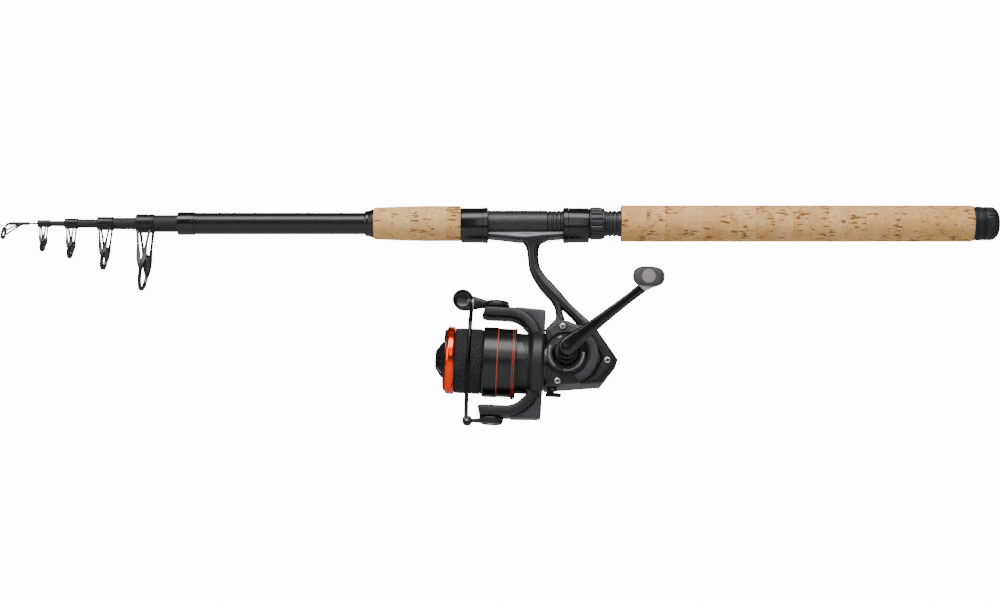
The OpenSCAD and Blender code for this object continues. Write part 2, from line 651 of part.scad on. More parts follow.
module rotor() {
    color("#2b2d30") reel_frame() difference() {
        union() {
            turned_x([[journal_r + glue, rotor_front], [drum_r - 1.5, rotor_front], [drum_r, rotor_front + 1.5],
                [drum_r, -24], [drum_r + 3.4, -22], [drum_r + 3.4, rotor_rear - 1.5],
                [drum_r + 2.2, rotor_rear], [drum_r - drum_wall, rotor_rear],
                [drum_r - drum_wall, rotor_front + 3], [6.5, rotor_front + 3], [6.5, snout_x - 0.6],
                [journal_r + glue, snout_x - 0.6]]);
            for (a = [0, 180]) rotate([a, 0, 0]) difference() {
                rotor_arm();
                rod_x(-60, 0, drum_r - 0.5);
            }
        }
        for (a = [0, 180]) rotate([a, 0, 0]) rod_z(arm_z0 + 1, arm_z1 + 1, 1.5 + glue, pivot_x, 0);
        translate([0, 0, -spring_z]) rod_x(-42, -21, 2.4);
        rod_z(-arm_z1 - 1, -spring_z, 1.8, -43.2, 0);
    }
}
module rotor_nut() {
    color("#b9bbbd") reel_frame() translate([rotor_front - 3.4, 0, 0]) difference() {
        along_x() cylinder(h = 3.3, r = 5.6, $fn = 6);
        rod_x(-1, 4, journal_r + glue);
    }
}
// The hub at the end of a rotor arm that a bail part turns on
module hub_bore() {
    rod_z(hub_z + bail_hub_t - 1.5, hub_z + bail_hub_t + 1, 3 + fit, pivot_x, 0);
    rod_z(hub_z - 1, hub_z + bail_hub_t, 1.5 + fit, pivot_x, 0);
}
module bail_arm() {
    bend_x = pivot_x - bail_hub_r - 5.6;
    color("#141517") reel_frame() difference() {
        union() {
            rod_z(hub_z, hub_z + bail_hub_t, bail_hub_r, pivot_x, 0);
            hull() {
                translate([pivot_x - 4, 2.8, hub_z + 1]) cube([4, 3.2, bail_hub_t - 1]);
                translate([bend_x, 2.8, hub_z + 0.4]) cube([0.5, 3.2, bail_hub_t + 0.2]);
            }
            hull() {
                translate([bend_x, 2.8, hub_z + 0.4]) cube([0.5, 3.2, bail_hub_t + 0.2]);
                rod_y(2.8, 6, 5.4, roller_x, roller_z);
            }
        }
        hub_bore();
        rod_y(-6, 7, 1.5 + glue, roller_x, roller_z);
    }
}
module bail_lever() {
    color("#141517") reel_frame() rotate([180, 0, 0]) difference() {
        union() {
            rod_z(hub_z, hub_z + bail_hub_t, bail_hub_r - 0.3, pivot_x, 0);
            hull() {
                translate([pivot_x - 5, -4, hub_z + 0.5]) cube([5, 8, bail_hub_t - 1]);
                translate([lug_x + 2, -2, hub_z + 1]) cube([2, 4, bail_hub_t - 1.6]);
            }
            rod_y(-3, 3, 3.4, lug_x, -lug_z);
        }
        hub_bore();
    }
}
// The wire hoop with the cone it is fixed to
module bail_wire() {
    color("#55585c") reel_frame() {
        translate([bail_x, bail_cy, -0.5]) rotate([-90, 0, 0]) rotate([0, -90, 0]) rotate([0, 0, 90])
            rotate_extrude(angle = 189) translate([bail_r, 0]) circle(r = wire_d / 2, $fn = 24);
        translate([roller_x, 0, roller_z]) along_y() rotate_extrude()
            polygon([[1.5 + glue, -9], [4.2, -9], [cone_r, -5.4], [cone_r, -4.4], [1.5 + glue, -4.4]]);
    }
}
module bail_screws() {
    color("#8f9296") reel_frame() for (a = [0, 180]) rotate([a, 0, 0]) {
        rod_z(hub_z + bail_hub_t - 1.2, hub_z + bail_hub_t + 0.1, 3, pivot_x, 0);
        rod_z(arm_z1 - 3, hub_z + bail_hub_t - 1, 1.5, pivot_x, 0);
    }
}
module line_roller() {
    color("#d0d2d4") reel_frame() translate([roller_x, -4.1, roller_z]) along_y() rotate_extrude()
        polygon([[1.5 + fit, 0], [4.6, 0], [3.6, 1.6], [3.4, 3.3], [3.6, 5], [4.6, 6.6], [1.5 + fit, 6.6]]);
}
module roller_screw() {
    color("#8f9296") reel_frame() {
        rod_y(-5.9, 6.1, 1.5, roller_x, roller_z);
        rod_y(6, 7, 2.8, roller_x, roller_z);
    }
}
// A round wire swept along a list of points
function ring_at(p, q, r, n) = let (d = unit(q), s = abs(d[0]) < 0.9 ? [1, 0, 0] : [0, 1, 0],
    u = unit(cross(d, s)), v = cross(d, u)) [for (j = [0:n - 1]) p + r * (cos(360 * j / n) * u + sin(360 * j / n) * v)];
module sweep(path, r, n = 8) {
    m = len(path);
    rings = [for (i = [0:m - 1])
        ring_at(path[i], path[min(i + 1, m - 1)] - path[max(i - 1, 0)], r, n)];
    polyhedron(points = [for (a = rings) for (p = a) p],
        faces = concat([[for (j = [0:n - 1]) j]], [[for (j = [n - 1:-1:0]) (m - 1) * n + j]],
            [for (i = [0:m - 2]) for (j = [0:n - 1]) each let (a = i * n + j, b = i * n + (j + 1) % n)
                [[a, a + n, b + n], [a, b + n, b]]]));
}
module bail_spring() {
    turns = 7;
    color("#9a9da1") reel_frame() sweep([for (i = [0:turns * 10]) [-40.5 + 17 * i / (turns * 10),
        1.7 * sin(36 * i), -spring_z + 1.7 * cos(36 * i)]], 0.35, 6);
}

// ---------- spool and shaft ----------
slot_z = half_stroke + pin_r + 0.2;
module main_shaft() {
    color("#b9bbbd") reel_frame() {
        rod_x(lip_x0 - 6.6, osc_x + slider_half + 1.5, shaft_r);
        tube_x(web_x + 3.1, web_x + 4.6, 5, shaft_r - 0.1);
    }
}
module oscillation_slider() {
    color("#d8d6cf") reel_frame() difference() {
        translate([osc_x - slider_half, -shaft_r - 0.4, -3.4])
            cube([2 * slider_half, slider_y1 + shaft_r + 0.4, osc_z + slot_z + 3.4]);
        rod_x(osc_x - slider_half - 1, osc_x + slider_half + 1, shaft_r + glue);
        translate([osc_x - pin_r - 0.1, 1.4, -4]) cube([2 * pin_r + 0.2, 4, 20]);
    }
}
module oscillation_gear() {
    color("#d8d6cf") reel_frame() translate([osc_x, 0, osc_z]) {
        difference() {
            translate([0, osc_y1, 0]) rotate([90, 0, 0])
                rotate([0, 0, atan2(osc_dz, -osc_x) + 180 / osc_teeth])
                    linear_extrude(height = osc_y1 - osc_y0)
                        polygon(gear_outline(osc_teeth, osc_teeth * osc_module / 2, 0.6, 0.75, 0.72));
            rod_y(osc_y0 - 1, osc_y1 + 1, 1.2 + fit);
        }
        rod_y(slider_y1 + gap, osc_y0 + 0.5, pin_r, 0, half_stroke);
    }
}
module spool() {
    x2 = skirt_x0 + 2.4;
    color("#161719") reel_frame() difference() {
        turned_x([[shaft_r + fit, web_x], [shaft_r + fit, web_x + 3], [arbor_r - arbor_wall, web_x + 3],
            [arbor_r - arbor_wall, x2], [skirt_r - skirt_wall, x2], [skirt_r - skirt_wall, skirt_x1],
            [skirt_r, skirt_x1], [skirt_r, skirt_x1 - 1], [skirt_r - 0.5, skirt_x1 - 1.4],
            [skirt_r - 0.5, skirt_x0 + 11], [skirt_r, skirt_x0 + 10.6], [skirt_r, skirt_x0 + 1],
            [skirt_r - 0.6, skirt_x0], [arbor_r, skirt_x0], [arbor_r, line_x0],
            [lip_r - 2.2, line_x0], [lip_r - 2.2, lip_x0 - 1], [lip_r - 3, lip_x0 - 2], [14.8, lip_x0 - 2],
            [13, lip_x0], [13, web_x]]);
        rod_z(-skirt_r - 1, -skirt_r + 1.9, 0.9, skirt_x1 - 2.2, 0);
    }
}
module spool_lip() {
    color("#e8551a") reel_frame() turned_x([[lip_r - 2.2 + glue, lip_x0], [lip_r - 0.7, lip_x0],
        [lip_r, lip_x0 + 1.6], [lip_r, line_x0 - 1.4], [lip_r - 0.5, line_x0], [lip_r - 2.2 + glue, line_x0]]);
}
module spool_line() {
    color("#1d1e20") reel_frame() turned_x([[arbor_r + glue, line_x0 + 0.02], [line_r - 0.3, line_x0 + 0.02],
        [line_r, line_x0 + 1.5], [line_r + 0.25, line_x0 + line_w / 2], [line_r, skirt_x0 - 1.5],
        [line_r - 0.3, skirt_x0 - 0.02], [arbor_r + glue, skirt_x0 - 0.02]]);
}
module line_clip() {
    color("#2b2d30") reel_frame() {
        rod_z(-skirt_r - 0.5, -skirt_r + 1, 0.85, skirt_x1 - 2.2, 0);
        rod_z(-skirt_r - 1.1, -skirt_r - 0.3, 1.9, skirt_x1 - 2.2, 0);
    }
}
module drag_washers() {
    color("#9a9da1") reel_frame() for (i = [0:4])
        tube_x(web_x - 1.12 * (i + 1), web_x - 1.12 * i - 0.1, i % 2 == 0 ? 12.6 : 12, shaft_r + 0.2);
}
module drag_knob() {
    x0 = web_x - 5.8;
    nose = lip_x0 - 7.8;
    color("#131416") reel_frame() difference() {
        union() {
            turned_x([[0, nose], [4.6, nose], [5.2, nose + 0.5], [12.4, lip_x0 - 2.4], [12.4, lip_x0 + 1],
                [8, lip_x0 + 1.4], [8, x0], [0, x0]]);
            for (i = [0:11]) rotate([30 * i, 0, 0]) plate([[nose + 1, 3], [nose + 0.2, 5.4],
                [lip_x0 - 2.6, 13.6], [lip_x0 - 2.6, 3]], -0.7, 0.7);
        }
        rod_x(lip_x0 - 6.8, x0 + 1, shaft_r + fit);
    }
}

butt_blank();
butt_collar();
winding_check();
fore_grip();
fixed_hood();
seat_barrel();
movable_hood();
lock_nut();
rear_grip();
butt_ferrule();
butt_gasket();
butt_cap();
inner_blank(0);  // blank_5
inner_blank(1);  // blank_4
inner_blank(2);  // blank_3
inner_blank(3);  // blank_2
tip_blank();
guide_frame(0);  // guide_frame_5
guide_frame(1);  // guide_frame_4
guide_frame(2);  // guide_frame_3
guide_frame(3);  // guide_frame_2
guide_ring(0);  // guide_ring_5
guide_ring(1);  // guide_ring_4
guide_ring(2);  // guide_ring_3
guide_ring(3);  // guide_ring_2
tip_frame();
tip_ring();
reel_body();
side_cover();
rear_guard();
cover_screws();
drive_bearings();
pinion_bearing();
one_way_clutch();
reverse_lever();
drive_gear();
crank_arm();
knob_axle();
crank_knob();
knob_cap();
handle_cap();
pinion();
rotor();
rotor_nut();
bail_arm();
bail_lever();
bail_wire();
bail_screws();
bail_spring();
line_roller();
roller_screw();
main_shaft();
oscillation_slider();
oscillation_gear();
spool();
spool_lip();
spool_line();
line_clip();
drag_washers();
drag_knob();
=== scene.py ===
from math import acos, atan2, cos, pi, radians, sin, sqrt, tan

import bmesh
import bpy
from mathutils import Matrix, Vector


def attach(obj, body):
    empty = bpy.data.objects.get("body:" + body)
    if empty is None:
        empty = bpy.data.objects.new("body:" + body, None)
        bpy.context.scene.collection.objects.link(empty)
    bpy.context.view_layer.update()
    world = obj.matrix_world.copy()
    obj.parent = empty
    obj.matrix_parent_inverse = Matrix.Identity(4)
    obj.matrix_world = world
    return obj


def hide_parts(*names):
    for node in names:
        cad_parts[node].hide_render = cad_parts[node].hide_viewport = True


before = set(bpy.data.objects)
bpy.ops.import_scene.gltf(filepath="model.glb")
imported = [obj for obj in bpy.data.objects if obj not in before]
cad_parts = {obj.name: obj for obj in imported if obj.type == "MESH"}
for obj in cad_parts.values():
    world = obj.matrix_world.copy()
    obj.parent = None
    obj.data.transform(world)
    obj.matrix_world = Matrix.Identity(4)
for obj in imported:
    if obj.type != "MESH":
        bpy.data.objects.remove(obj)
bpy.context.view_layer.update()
scene = bpy.context.scene
turn = 2 * pi

# frames: everything below is in millimetres until makePiece turns it to metres
rodPlace = Matrix.Identity(4)
reelPlace = Matrix.Translation((-285.8, 0, -101.5)) @ Matrix.Rotation(radians(3), 4, "Y")
drivePlace = reelPlace @ Matrix.Translation((0, 0, 6.5))


def reelAt(x, y, z):
    return reelPlace @ Matrix.Translation((x, y, z))


def reelTurned(degrees):
    return reelPlace @ Matrix.Rotation(radians(degrees), 4, "X")


aboutY = Matrix.Rotation(radians(90), 4, "Z")  # lays a shape turned about X along Y
aboutZ = Matrix.Rotation(radians(-90), 4, "Y")  # lays a shape turned about X along Z


# colours and nodes
def linear(hexColour):
    def channel(pair):
        c = int(pair, 16) / 255
        return c / 12.92 if c <= 0.04045 else ((c + 0.055) / 1.055) ** 2.4
    h = hexColour.lstrip("#")
    return [channel(h[i:i + 2]) for i in (0, 2, 4)] + [1.0]


def addNode(tree, kind, settings=None, links=None):
    # settings go to node properties or, by socket name, to inputs; links come from (node, socket) pairs
    node = tree.nodes.new("ShaderNode" + kind)
    for key, value in (settings or {}).items():
        if key == "stops":
            for extra in value[2:]:
                node.color_ramp.elements.new(0.5)
            for element, (place, colour) in zip(node.color_ramp.elements, value):
                element.position, element.color = place, linear(colour)
        elif isinstance(key, int) or key in node.inputs:
            node.inputs[key].default_value = value
        else:
            setattr(node, key, value)
    for key, source in (links or {}).items():
        tree.links.new(source[0].outputs[source[1]], node.inputs[key])
    return node


def newMaterial(name, colour, rough, metallic=0.0, specular=0.5):
    mat = bpy.data.materials.new(name)
    mat.use_nodes = True
    shader = mat.node_tree.nodes["Principled BSDF"]
    shader.inputs["Base Color"].default_value = linear(colour)
    shader.inputs["Roughness"].default_value = rough
    shader.inputs["Metallic"].default_value = metallic
    shader.inputs["Specular IOR Level"].default_value = specular
    return mat, mat.node_tree, shader


def grainSurface(name, colour, second, rough, grainMm, bumpMm, mottleMm, specular=0.5, metallic=0.0):
    # a moulded, painted or blasted skin: slow tone drift, fine grain in roughness and height
    mat, tree, shader = newMaterial(name, colour, rough[0], metallic, specular)
    place = addNode(tree, "TexCoord")
    drift = addNode(tree, "TexNoise", {"Scale": 1000 / mottleMm, "Detail": 3.0},
        {"Vector": (place, "Object")})
    grain = addNode(tree, "TexNoise", {"Scale": 1000 / grainMm, "Detail": 2.0}, {"Vector": (place, "Object")})
    tone = addNode(tree, "Mix", {"data_type": "RGBA"}, {"Factor": (drift, "Fac")})
    tone.inputs[6].default_value, tone.inputs[7].default_value = linear(colour), linear(second)
    tree.links.new(tone.outputs[2], shader.inputs["Base Color"])
    shine = addNode(tree, "MapRange", {"To Min": rough[0], "To Max": rough[1]}, {"Value": (drift, "Fac")})
    tree.links.new(shine.outputs["Result"], shader.inputs["Roughness"])
    bump = addNode(tree, "Bump", {"Strength": 1.0, "Distance": bumpMm / 1000}, {"Height": (grain, "Fac")})
    tree.links.new(bump.outputs["Normal"], shader.inputs["Normal"])
    return mat


def corkMaterial(name, ringMm=12.7):
    # natural cork in glued rings, sanded: warm tan, each ring its own tone, dark lenticels and crumbs
    mat, tree, shader = newMaterial(name, "#cf9760", 0.8, specular=0.25)
    place = addNode(tree, "TexCoord")
    axes = addNode(tree, "SeparateXYZ", links={"Vector": (place, "Object")})
    ring = addNode(tree, "Math", {"operation": "DIVIDE", 1: ringMm / 1000}, {0: (axes, "X")})
    index = addNode(tree, "Math", {"operation": "FLOOR"}, {0: (ring, 0)})
    part = addNode(tree, "Math", {"operation": "FRACT"}, {0: (ring, 0)})
    tone = addNode(tree, "TexWhiteNoise", {"noise_dimensions": "1D"}, {"W": (index, 0)})
    shifted = addNode(tree, "VectorMath", {"operation": "ADD"}, {0: (place, "Object"), 1: (tone, "Color")})
    # granules about 1.6 mm across
    cell = addNode(tree, "TexVoronoi", {"Scale": 620.0, "Randomness": 1.0}, {"Vector": (shifted, 0)})
    cloud = addNode(tree, "TexNoise", {"Scale": 90.0, "Detail": 6.0, "Roughness": 0.65},
        {"Vector": (shifted, 0)})
    base = addNode(tree, "ValToRGB", {"stops": [(0.3, "#c68e52"), (0.5, "#dba768"), (0.7, "#eabd83")]},
        {"Fac": (cloud, "Fac")})
    ringTone = addNode(tree, "ValToRGB", {"stops": [(0.0, "#cf9858"), (1.0, "#e9bb82")]},
        {"Fac": (tone, "Value")})
    mixed = addNode(tree, "Mix", {"data_type": "RGBA", "Factor": 0.45},
        {6: (base, "Color"), 7: (ringTone, "Color")})
    speck = addNode(tree, "Mix", {"data_type": "RGBA", "blend_type": "MULTIPLY", "Factor": 0.22},
        {6: (mixed, 2), 7: (cell, "Color")})
    # lenticels run along the rod as short broken dashes 2 to 6 mm long
    stretch = addNode(tree, "Mapping", {"Scale": (0.22, 1.0, 1.0)}, {"Vector": (shifted, 0)})
    pores = addNode(tree, "TexNoise", {"Scale": 640.0, "Detail": 3.0, "Roughness": 0.6},
        {"Vector": (stretch, 0)})
    zone = addNode(tree, "TexNoise", {"Scale": 70.0, "Detail": 1.0}, {"Vector": (shifted, 0)})
    gate = addNode(tree, "Math", {"operation": "MULTIPLY_ADD", 1: 0.42, 2: -0.2}, {0: (zone, "Fac")})
    depth = addNode(tree, "Math", {"operation": "ADD"}, {0: (pores, "Fac"), 1: (gate, 0)})
    pit = addNode(tree, "ValToRGB", {"stops": [(0.6, "#000000"), (0.67, "#ffffff")]}, {"Fac": (depth, 0)})
    seam = addNode(tree, "Math", {"operation": "COMPARE", 1: 0.0, 2: 0.012}, {0: (part, 0)})
    dark = addNode(tree, "Mix", {"data_type": "RGBA"}, {"Factor": (pit, "Color"), 6: (speck, 2)})
    dark.inputs[7].default_value = linear("#7d5025")
    lined = addNode(tree, "Math", {"operation": "MULTIPLY", 1: 0.35}, {0: (seam, 0)})
    final = addNode(tree, "Mix", {"data_type": "RGBA"}, {"Factor": (lined, 0), 6: (dark, 2)})
    final.inputs[7].default_value = linear("#9a7048")
    tree.links.new(final.outputs[2], shader.inputs["Base Color"])
    height = addNode(tree, "Math", {"operation": "MULTIPLY_ADD", 1: -1.0, 2: 1.0}, {0: (pit, "Color")})
    grit = addNode(tree, "Math", {"operation": "MULTIPLY_ADD", 1: 0.25}, {0: (cloud, "Fac"), 2: (height, 0)})
    bump = addNode(tree, "Bump", {"Strength": 0.7, "Distance": 0.0003}, {"Height": (grit, 0)})
    tree.links.new(bump.outputs["Normal"], shader.inputs["Normal"])
    return mat


def woundLineMaterial(name, pitchMm=0.55):
    # braided line laid in crossing coils: matt black with grey dust; the coils are drawn coarser than real
    mat, tree, shader = newMaterial(name, "#1b1b1d", 0.75, specular=0.3)
    place = addNode(tree, "TexCoord")
    local = addNode(tree, "Mapping", {"vector_type": "POINT", "Rotation": (0, radians(-3), 0),
        "Location": (0.2801, 0, 0.1163)}, {"Vector": (place, "Object")})
    axes = addNode(tree, "SeparateXYZ", links={"Vector": (local, 0)})
    around = addNode(tree, "Math", {"operation": "ARCTAN2"}, {0: (axes, "Y"), 1: (axes, "Z")})
    heights = []
    for lean in (0.9, -0.9):
        slope = addNode(tree, "Math", {"operation": "MULTIPLY_ADD", 1: lean / 1000},
            {0: (around, 0), 2: (axes, "X")})
        wave = addNode(tree, "Math", {"operation": "MULTIPLY", 1: turn * 1000 / pitchMm}, {0: (slope, 0)})
        heights.append(addNode(tree, "Math", {"operation": "SINE"}, {0: (wave, 0)}))
    cross = addNode(tree, "Math", {"operation": "MAXIMUM"}, {0: (heights[0], 0), 1: (heights[1], 0)})
    dust = addNode(tree, "TexNoise", {"Scale": 1500.0, "Detail": 4.0, "Roughness": 0.7},
        {"Vector": (place, "Object")})
    tint = addNode(tree, "ValToRGB", {"stops": [(0.45, "#121213"), (0.62, "#2c2c2e"), (0.75, "#6e6e70")]},
        {"Fac": (dust, "Fac")})
    tree.links.new(tint.outputs["Color"], shader.inputs["Base Color"])
    total = addNode(tree, "Math", {"operation": "MULTIPLY_ADD", 1: 1.2}, {0: (dust, "Fac"), 2: (cross, 0)})
    bump = addNode(tree, "Bump", {"Strength": 0.8, "Distance": 0.00012}, {"Height": (total, 0)})
    tree.links.new(bump.outputs["Normal"], shader.inputs["Normal"])
    return mat


def brushedMetal(name, colour, rough=0.28, streakMm=0.12, bumpMm=0.004):
    # turned or brushed metal: fine streaks round the part's own axis
    mat, tree, shader = newMaterial(name, colour, rough, 1.0)
    place = addNode(tree, "TexCoord")
    lines = addNode(tree, "Mapping", {"Scale": (1.0, 0.05, 0.05)}, {"Vector": (place, "Object")})
    streak = addNode(tree, "TexNoise", {"Scale": 1000 / streakMm, "Detail": 2.0}, {"Vector": (lines, 0)})
    shine = addNode(tree, "MapRange", {"To Min": rough * 0.8, "To Max": rough * 1.3},
        {"Value": (streak, "Fac")})
    tree.links.new(shine.outputs["Result"], shader.inputs["Roughness"])
    bump = addNode(tree, "Bump", {"Strength": 1.0, "Distance": bumpMm / 1000}, {"Height": (streak, "Fac")})
    tree.links.new(bump.outputs["Normal"], shader.inputs["Normal"])
    return mat


# sanded natural cork: warm tan rings with dark broken dashes
corkGrip = corkMaterial("sandedCork")
# gloss lacquer over graphite: near black with one soft band of light
lacqueredBlank = grainSurface("lacqueredGraphite", "#08080a", "#0d0d10", (0.27, 0.33), 0.5, 0.002, 20,
    specular=0.45)
# sanded graphite without lacquer: dull violet black beside the gloss parts
mattBlank = grainSurface("mattGraphite", "#151317", "#1c191d", (0.5, 0.6), 0.3, 0.006, 10, specular=0.35)
# polished moulded nylon: deep black, clear highlight
glossPlastic = grainSurface("mouldedGlossNylon", "#070708", "#0b0b0d", (0.2, 0.27), 0.8, 0.003, 12,
    specular=0.45)
# epoxy lacquer on the sleeves: wet, slightly wavy gloss
sleeveLacquer = grainSurface("lacqueredSleeve", "#070708", "#0b0b0d", (0.16, 0.26), 0.6, 0.006, 5)
# glass-filled nylon: dark grey with a faint sparkle
seatNylon = grainSurface("glassFilledNylon", "#121316", "#1a1b1f", (0.34, 0.5), 0.5, 0.02, 3)
# spark-eroded mould skin: flat black that swallows light
mattNylon = grainSurface("sparkErodedNylon", "#070708", "#0c0c0d", (0.5, 0.62), 0.35, 0.03, 8, specular=0.35)
# moulded rubber: soft black, broad weak sheen
buttRubber = grainSurface("mouldedRubber", "#0a0a0b", "#111112", (0.42, 0.55), 0.5, 0.03, 6, specular=0.4)
# sprayed satin paint on cast metal: charcoal with a silky falloff
bodyPaint = grainSurface("satinGraphitePaint", "#101114", "#16171a", (0.3, 0.38), 0.3, 0.008, 9)
# satin paint with metal flake: lighter grey on flat faces
gunmetalPaint = grainSurface("satinGunmetalPaint", "#303135", "#3a3b3f", (0.32, 0.42), 0.3, 0.008, 9,
    metallic=0.35)
# the gunmetal paint made glossier so its flanks catch a bright strip from the lamp, with a lighter base
# colour that is painted highlight on top
footPaintedHighlight = grainSurface("gunmetalPaintWithPaintedHighlight", "#3a3b3f", "#434448", (0.24, 0.3), 0.3, 0.006, 9,
    specular=0.9, metallic=0.5)
# pad-printed light grey: thin clear arcs in the dark dish
crescentPaint = grainSurface("greyCrescentPaint", "#6c6d70", "#77787b", (0.35, 0.45), 0.3, 0.006, 6)
# satin black spray on a moulding: soft dark grey roll-off
rotorPaint = grainSurface("satinBlackPaint", "#070709", "#0b0b0d", (0.42, 0.52), 0.3, 0.01, 9, specular=0.45)
# gloss black over turned metal: a broad band of light across the skirt
spoolPaint = grainSurface("glossBlackPaint", "#050507", "#08080a", (0.27, 0.34), 0.5, 0.003, 12,
    specular=0.45)
# soft-touch rubber: even dark grey, no glint
knobGrey = grainSurface("softTouchDarkGrey", "#2e2e33", "#37373b", (0.45, 0.55), 0.35, 0.02, 5, specular=0.4)
# soft-touch rubber in warm light grey, a lighter copy of the dark grey knob rubber: painted light on the
# knob's side
knobRubberLitCopy = grainSurface("softTouchPaintedLightGrey", "#b4aea4", "#c2bcb2", (0.5, 0.6), 0.35, 0.02, 5, specular=0.4)
# blasted disc: pale matt centre
capGrey = grainSurface("blastedGreyDisc", "#6f6867", "#7c7573", (0.4, 0.5), 0.3, 0.02, 3)
# black chromed stamping: dark with short glints on its edges
guideFrameFinish = grainSurface("blackChromedSteel", "#0c0c0e", "#121215", (0.3, 0.38), 0.8, 0.001, 5,
    metallic=0.3)
# polished ceramic: glassy dark ring
ringCeramic = grainSurface("polishedDarkCeramic", "#141517", "#1b1c1e", (0.16, 0.22), 0.4, 0.001, 5,
    specular=0.6)
# turned steel: fine rings and a long highlight
steel = brushedMetal("machinedSteel", "#c4c5c6", 0.25)
# zinc-plated screw heads: bright dots on the dark cover
screwSteel = brushedMetal("platedScrewSteel", "#cfcdc8", 0.3)
# dark plated wire: a thin light line along black
darkWire = brushedMetal("darkPlatedWire", "#232327", 0.22)
# polished chrome: mirror-like on the roller and the wire ends
rollerChrome = brushedMetal("polishedChrome", "#d8d9da", 0.12, 0.3, 0.001)
# cut brass: warm yellow gear
brass = brushedMetal("cutBrass", "#c9a14a", 0.3)
# die-cast zinc: greyish, duller than steel
zinc = brushedMetal("machinedZinc", "#b3b1a8", 0.35)
# anodised aluminium: glowing orange, dark red where it turns away
orangeLip = brushedMetal("orangeAnodisedAluminium", "#ff3c05", 0.22, 0.1, 0.006)
# printed line: flat orange red
orangePaint = grainSurface("orangeLinePaint", "#a82c0c", "#bc3610", (0.4, 0.5), 0.5, 0.002, 4)
# moulded acetal: milky white
acetal = grainSurface("mouldedAcetal", "#d6d3cb", "#dedbd4", (0.4, 0.5), 0.5, 0.005, 5)
# wound braid: matt black with grey dust and crossing coils
lineBraid = woundLineMaterial("woundBraid")
print("materials made")


# shapes
def roundedOutline(corners, steps=4):
    # corners are (a, b) or (a, b, radius); each radius becomes a short curve
    points, count = [], len(corners)
    for i, corner in enumerate(corners):
        p = Vector(corner[:2])
        radius = corner[2] if len(corner) > 2 else 0
        if not radius:
            points.append(p)
            continue
        u = (Vector(corners[i - 1][:2]) - p).normalized()
        v = (Vector(corners[(i + 1) % count][:2]) - p).normalized()
        cut = radius / tan(acos(max(-1, min(1, u.dot(v)))) / 2)
        for k in range(steps + 1):
            t = k / steps
            points.append(p + cut * ((1 - t) ** 2 * u + t ** 2 * v))
    return points


def newShape():
    return bmesh.new()


def placed(source, place=rodPlace):
    bmesh.ops.transform(source, matrix=place, verts=source.verts)
    return source


def addShape(target, source, place=rodPlace):
    # joins one finished shape into another at its place
    placed(source, place)
    holder = bpy.data.meshes.new("holder")
    source.to_mesh(holder)
    source.free()
    target.from_mesh(holder)
    bpy.data.meshes.remove(holder)
    return target


def lathe(corners, steps=72, fillet=3):
    # spins a closed profile of (x, radius, corner radius) about X
    bm = newShape()
    points = roundedOutline(corners, fillet)
    verts = [bm.verts.new((p[0], 0, max(p[1], 0))) for p in points]
    edges = [bm.edges.new((verts[i - 1], verts[i])) for i in range(len(verts))]
    bmesh.ops.spin(bm, geom=verts + edges, cent=(0, 0, 0), axis=(1, 0, 0), angle=turn, steps=steps,
        use_merge=True, use_duplicate=False)
    bmesh.ops.remove_doubles(bm, verts=bm.verts, dist=1e-4)
    loose = [e for e in bm.edges if not e.link_faces]
    bmesh.ops.delete(bm, geom=loose, context="EDGES")
    bmesh.ops.recalc_face_normals(bm, faces=bm.faces)
    return bm


def plate(corners, y0, y1, edge=0.5, steps=2, fillet=4, edgeBack=None):
    # an outline in X and Z drawn out along Y, with both rims bevelled
    bm = newShape()
    face = bm.faces.new([bm.verts.new((p[0], y0, p[1])) for p in roundedOutline(corners, fillet)])
    grown = bmesh.ops.extrude_face_region(bm, geom=[face])
    moved = [g for g in grown["geom"] if isinstance(g, bmesh.types.BMVert)]
    bmesh.ops.translate(bm, vec=(0, y1 - y0, 0), verts=moved)
    bmesh.ops.recalc_face_normals(bm, faces=bm.faces)
    for y, width in ((y0, edge), (y1, edge if edgeBack is None else edgeBack)):
        rim = [e for e in bm.edges if all(abs(v.co.y - y) < 1e-5 for v in e.verts)]
        if width:
            bmesh.ops.bevel(bm, geom=rim, offset=width, segments=steps, profile=0.5, affect="EDGES",
                material=-1, clamp_overlap=True)
    return bm


def loft(rings, close=False, caps=True):
    # bridges rings of points in order; close joins the last to the first
    bm = newShape()
    loops = []
    for ring in rings:
        verts = [bm.verts.new(p) for p in ring]
        loops.append([bm.edges.new((verts[i - 1], verts[i])) for i in range(len(verts))])
    pairs = list(zip(loops, loops[1:])) + ([(loops[-1], loops[0])] if close else [])
    for a, b in pairs:
        bmesh.ops.bridge_loops(bm, edges=a + b)
    if caps and not close:
        for loop in (loops[0], loops[-1]):
            bmesh.ops.edgeloop_fill(bm, edges=loop)
    bmesh.ops.recalc_face_normals(bm, faces=bm.faces)
    return bm


def ovalRing(centre, across, up, a, b, power=2.0, count=24):
    # a ring of points on an oval; powers above 2 square it off
    centre, across, up = Vector(centre), Vector(across), Vector(up)
    ring = []
    for i in range(count):
        c, s = cos(turn * i / count), sin(turn * i / count)
        u = abs(c) ** (2 / power) * (1 if c > 0 else -1)
        v = abs(s) ** (2 / power) * (1 if s > 0 else -1)
        ring.append(centre + across * (a * u) + up * (b * v))
    return ring


def smoothed(values, each=4):
    # passes a smooth curve through rows of numbers
    rows, out = [Vector(v) for v in values], []
    for i in range(len(rows) - 1):
        p0, p1, p2, p3 = rows[max(i - 1, 0)], rows[i], rows[i + 1], rows[min(i + 2, len(rows) - 1)]
        for k in range(each):
            t = k / each
            out.append(0.5 * (2 * p1 + (p2 - p0) * t + (2 * p0 - 5 * p1 + 4 * p2 - p3) * t * t
                + (3 * p1 - p0 - 3 * p2 + p3) * t ** 3))
    return out + [rows[-1]]


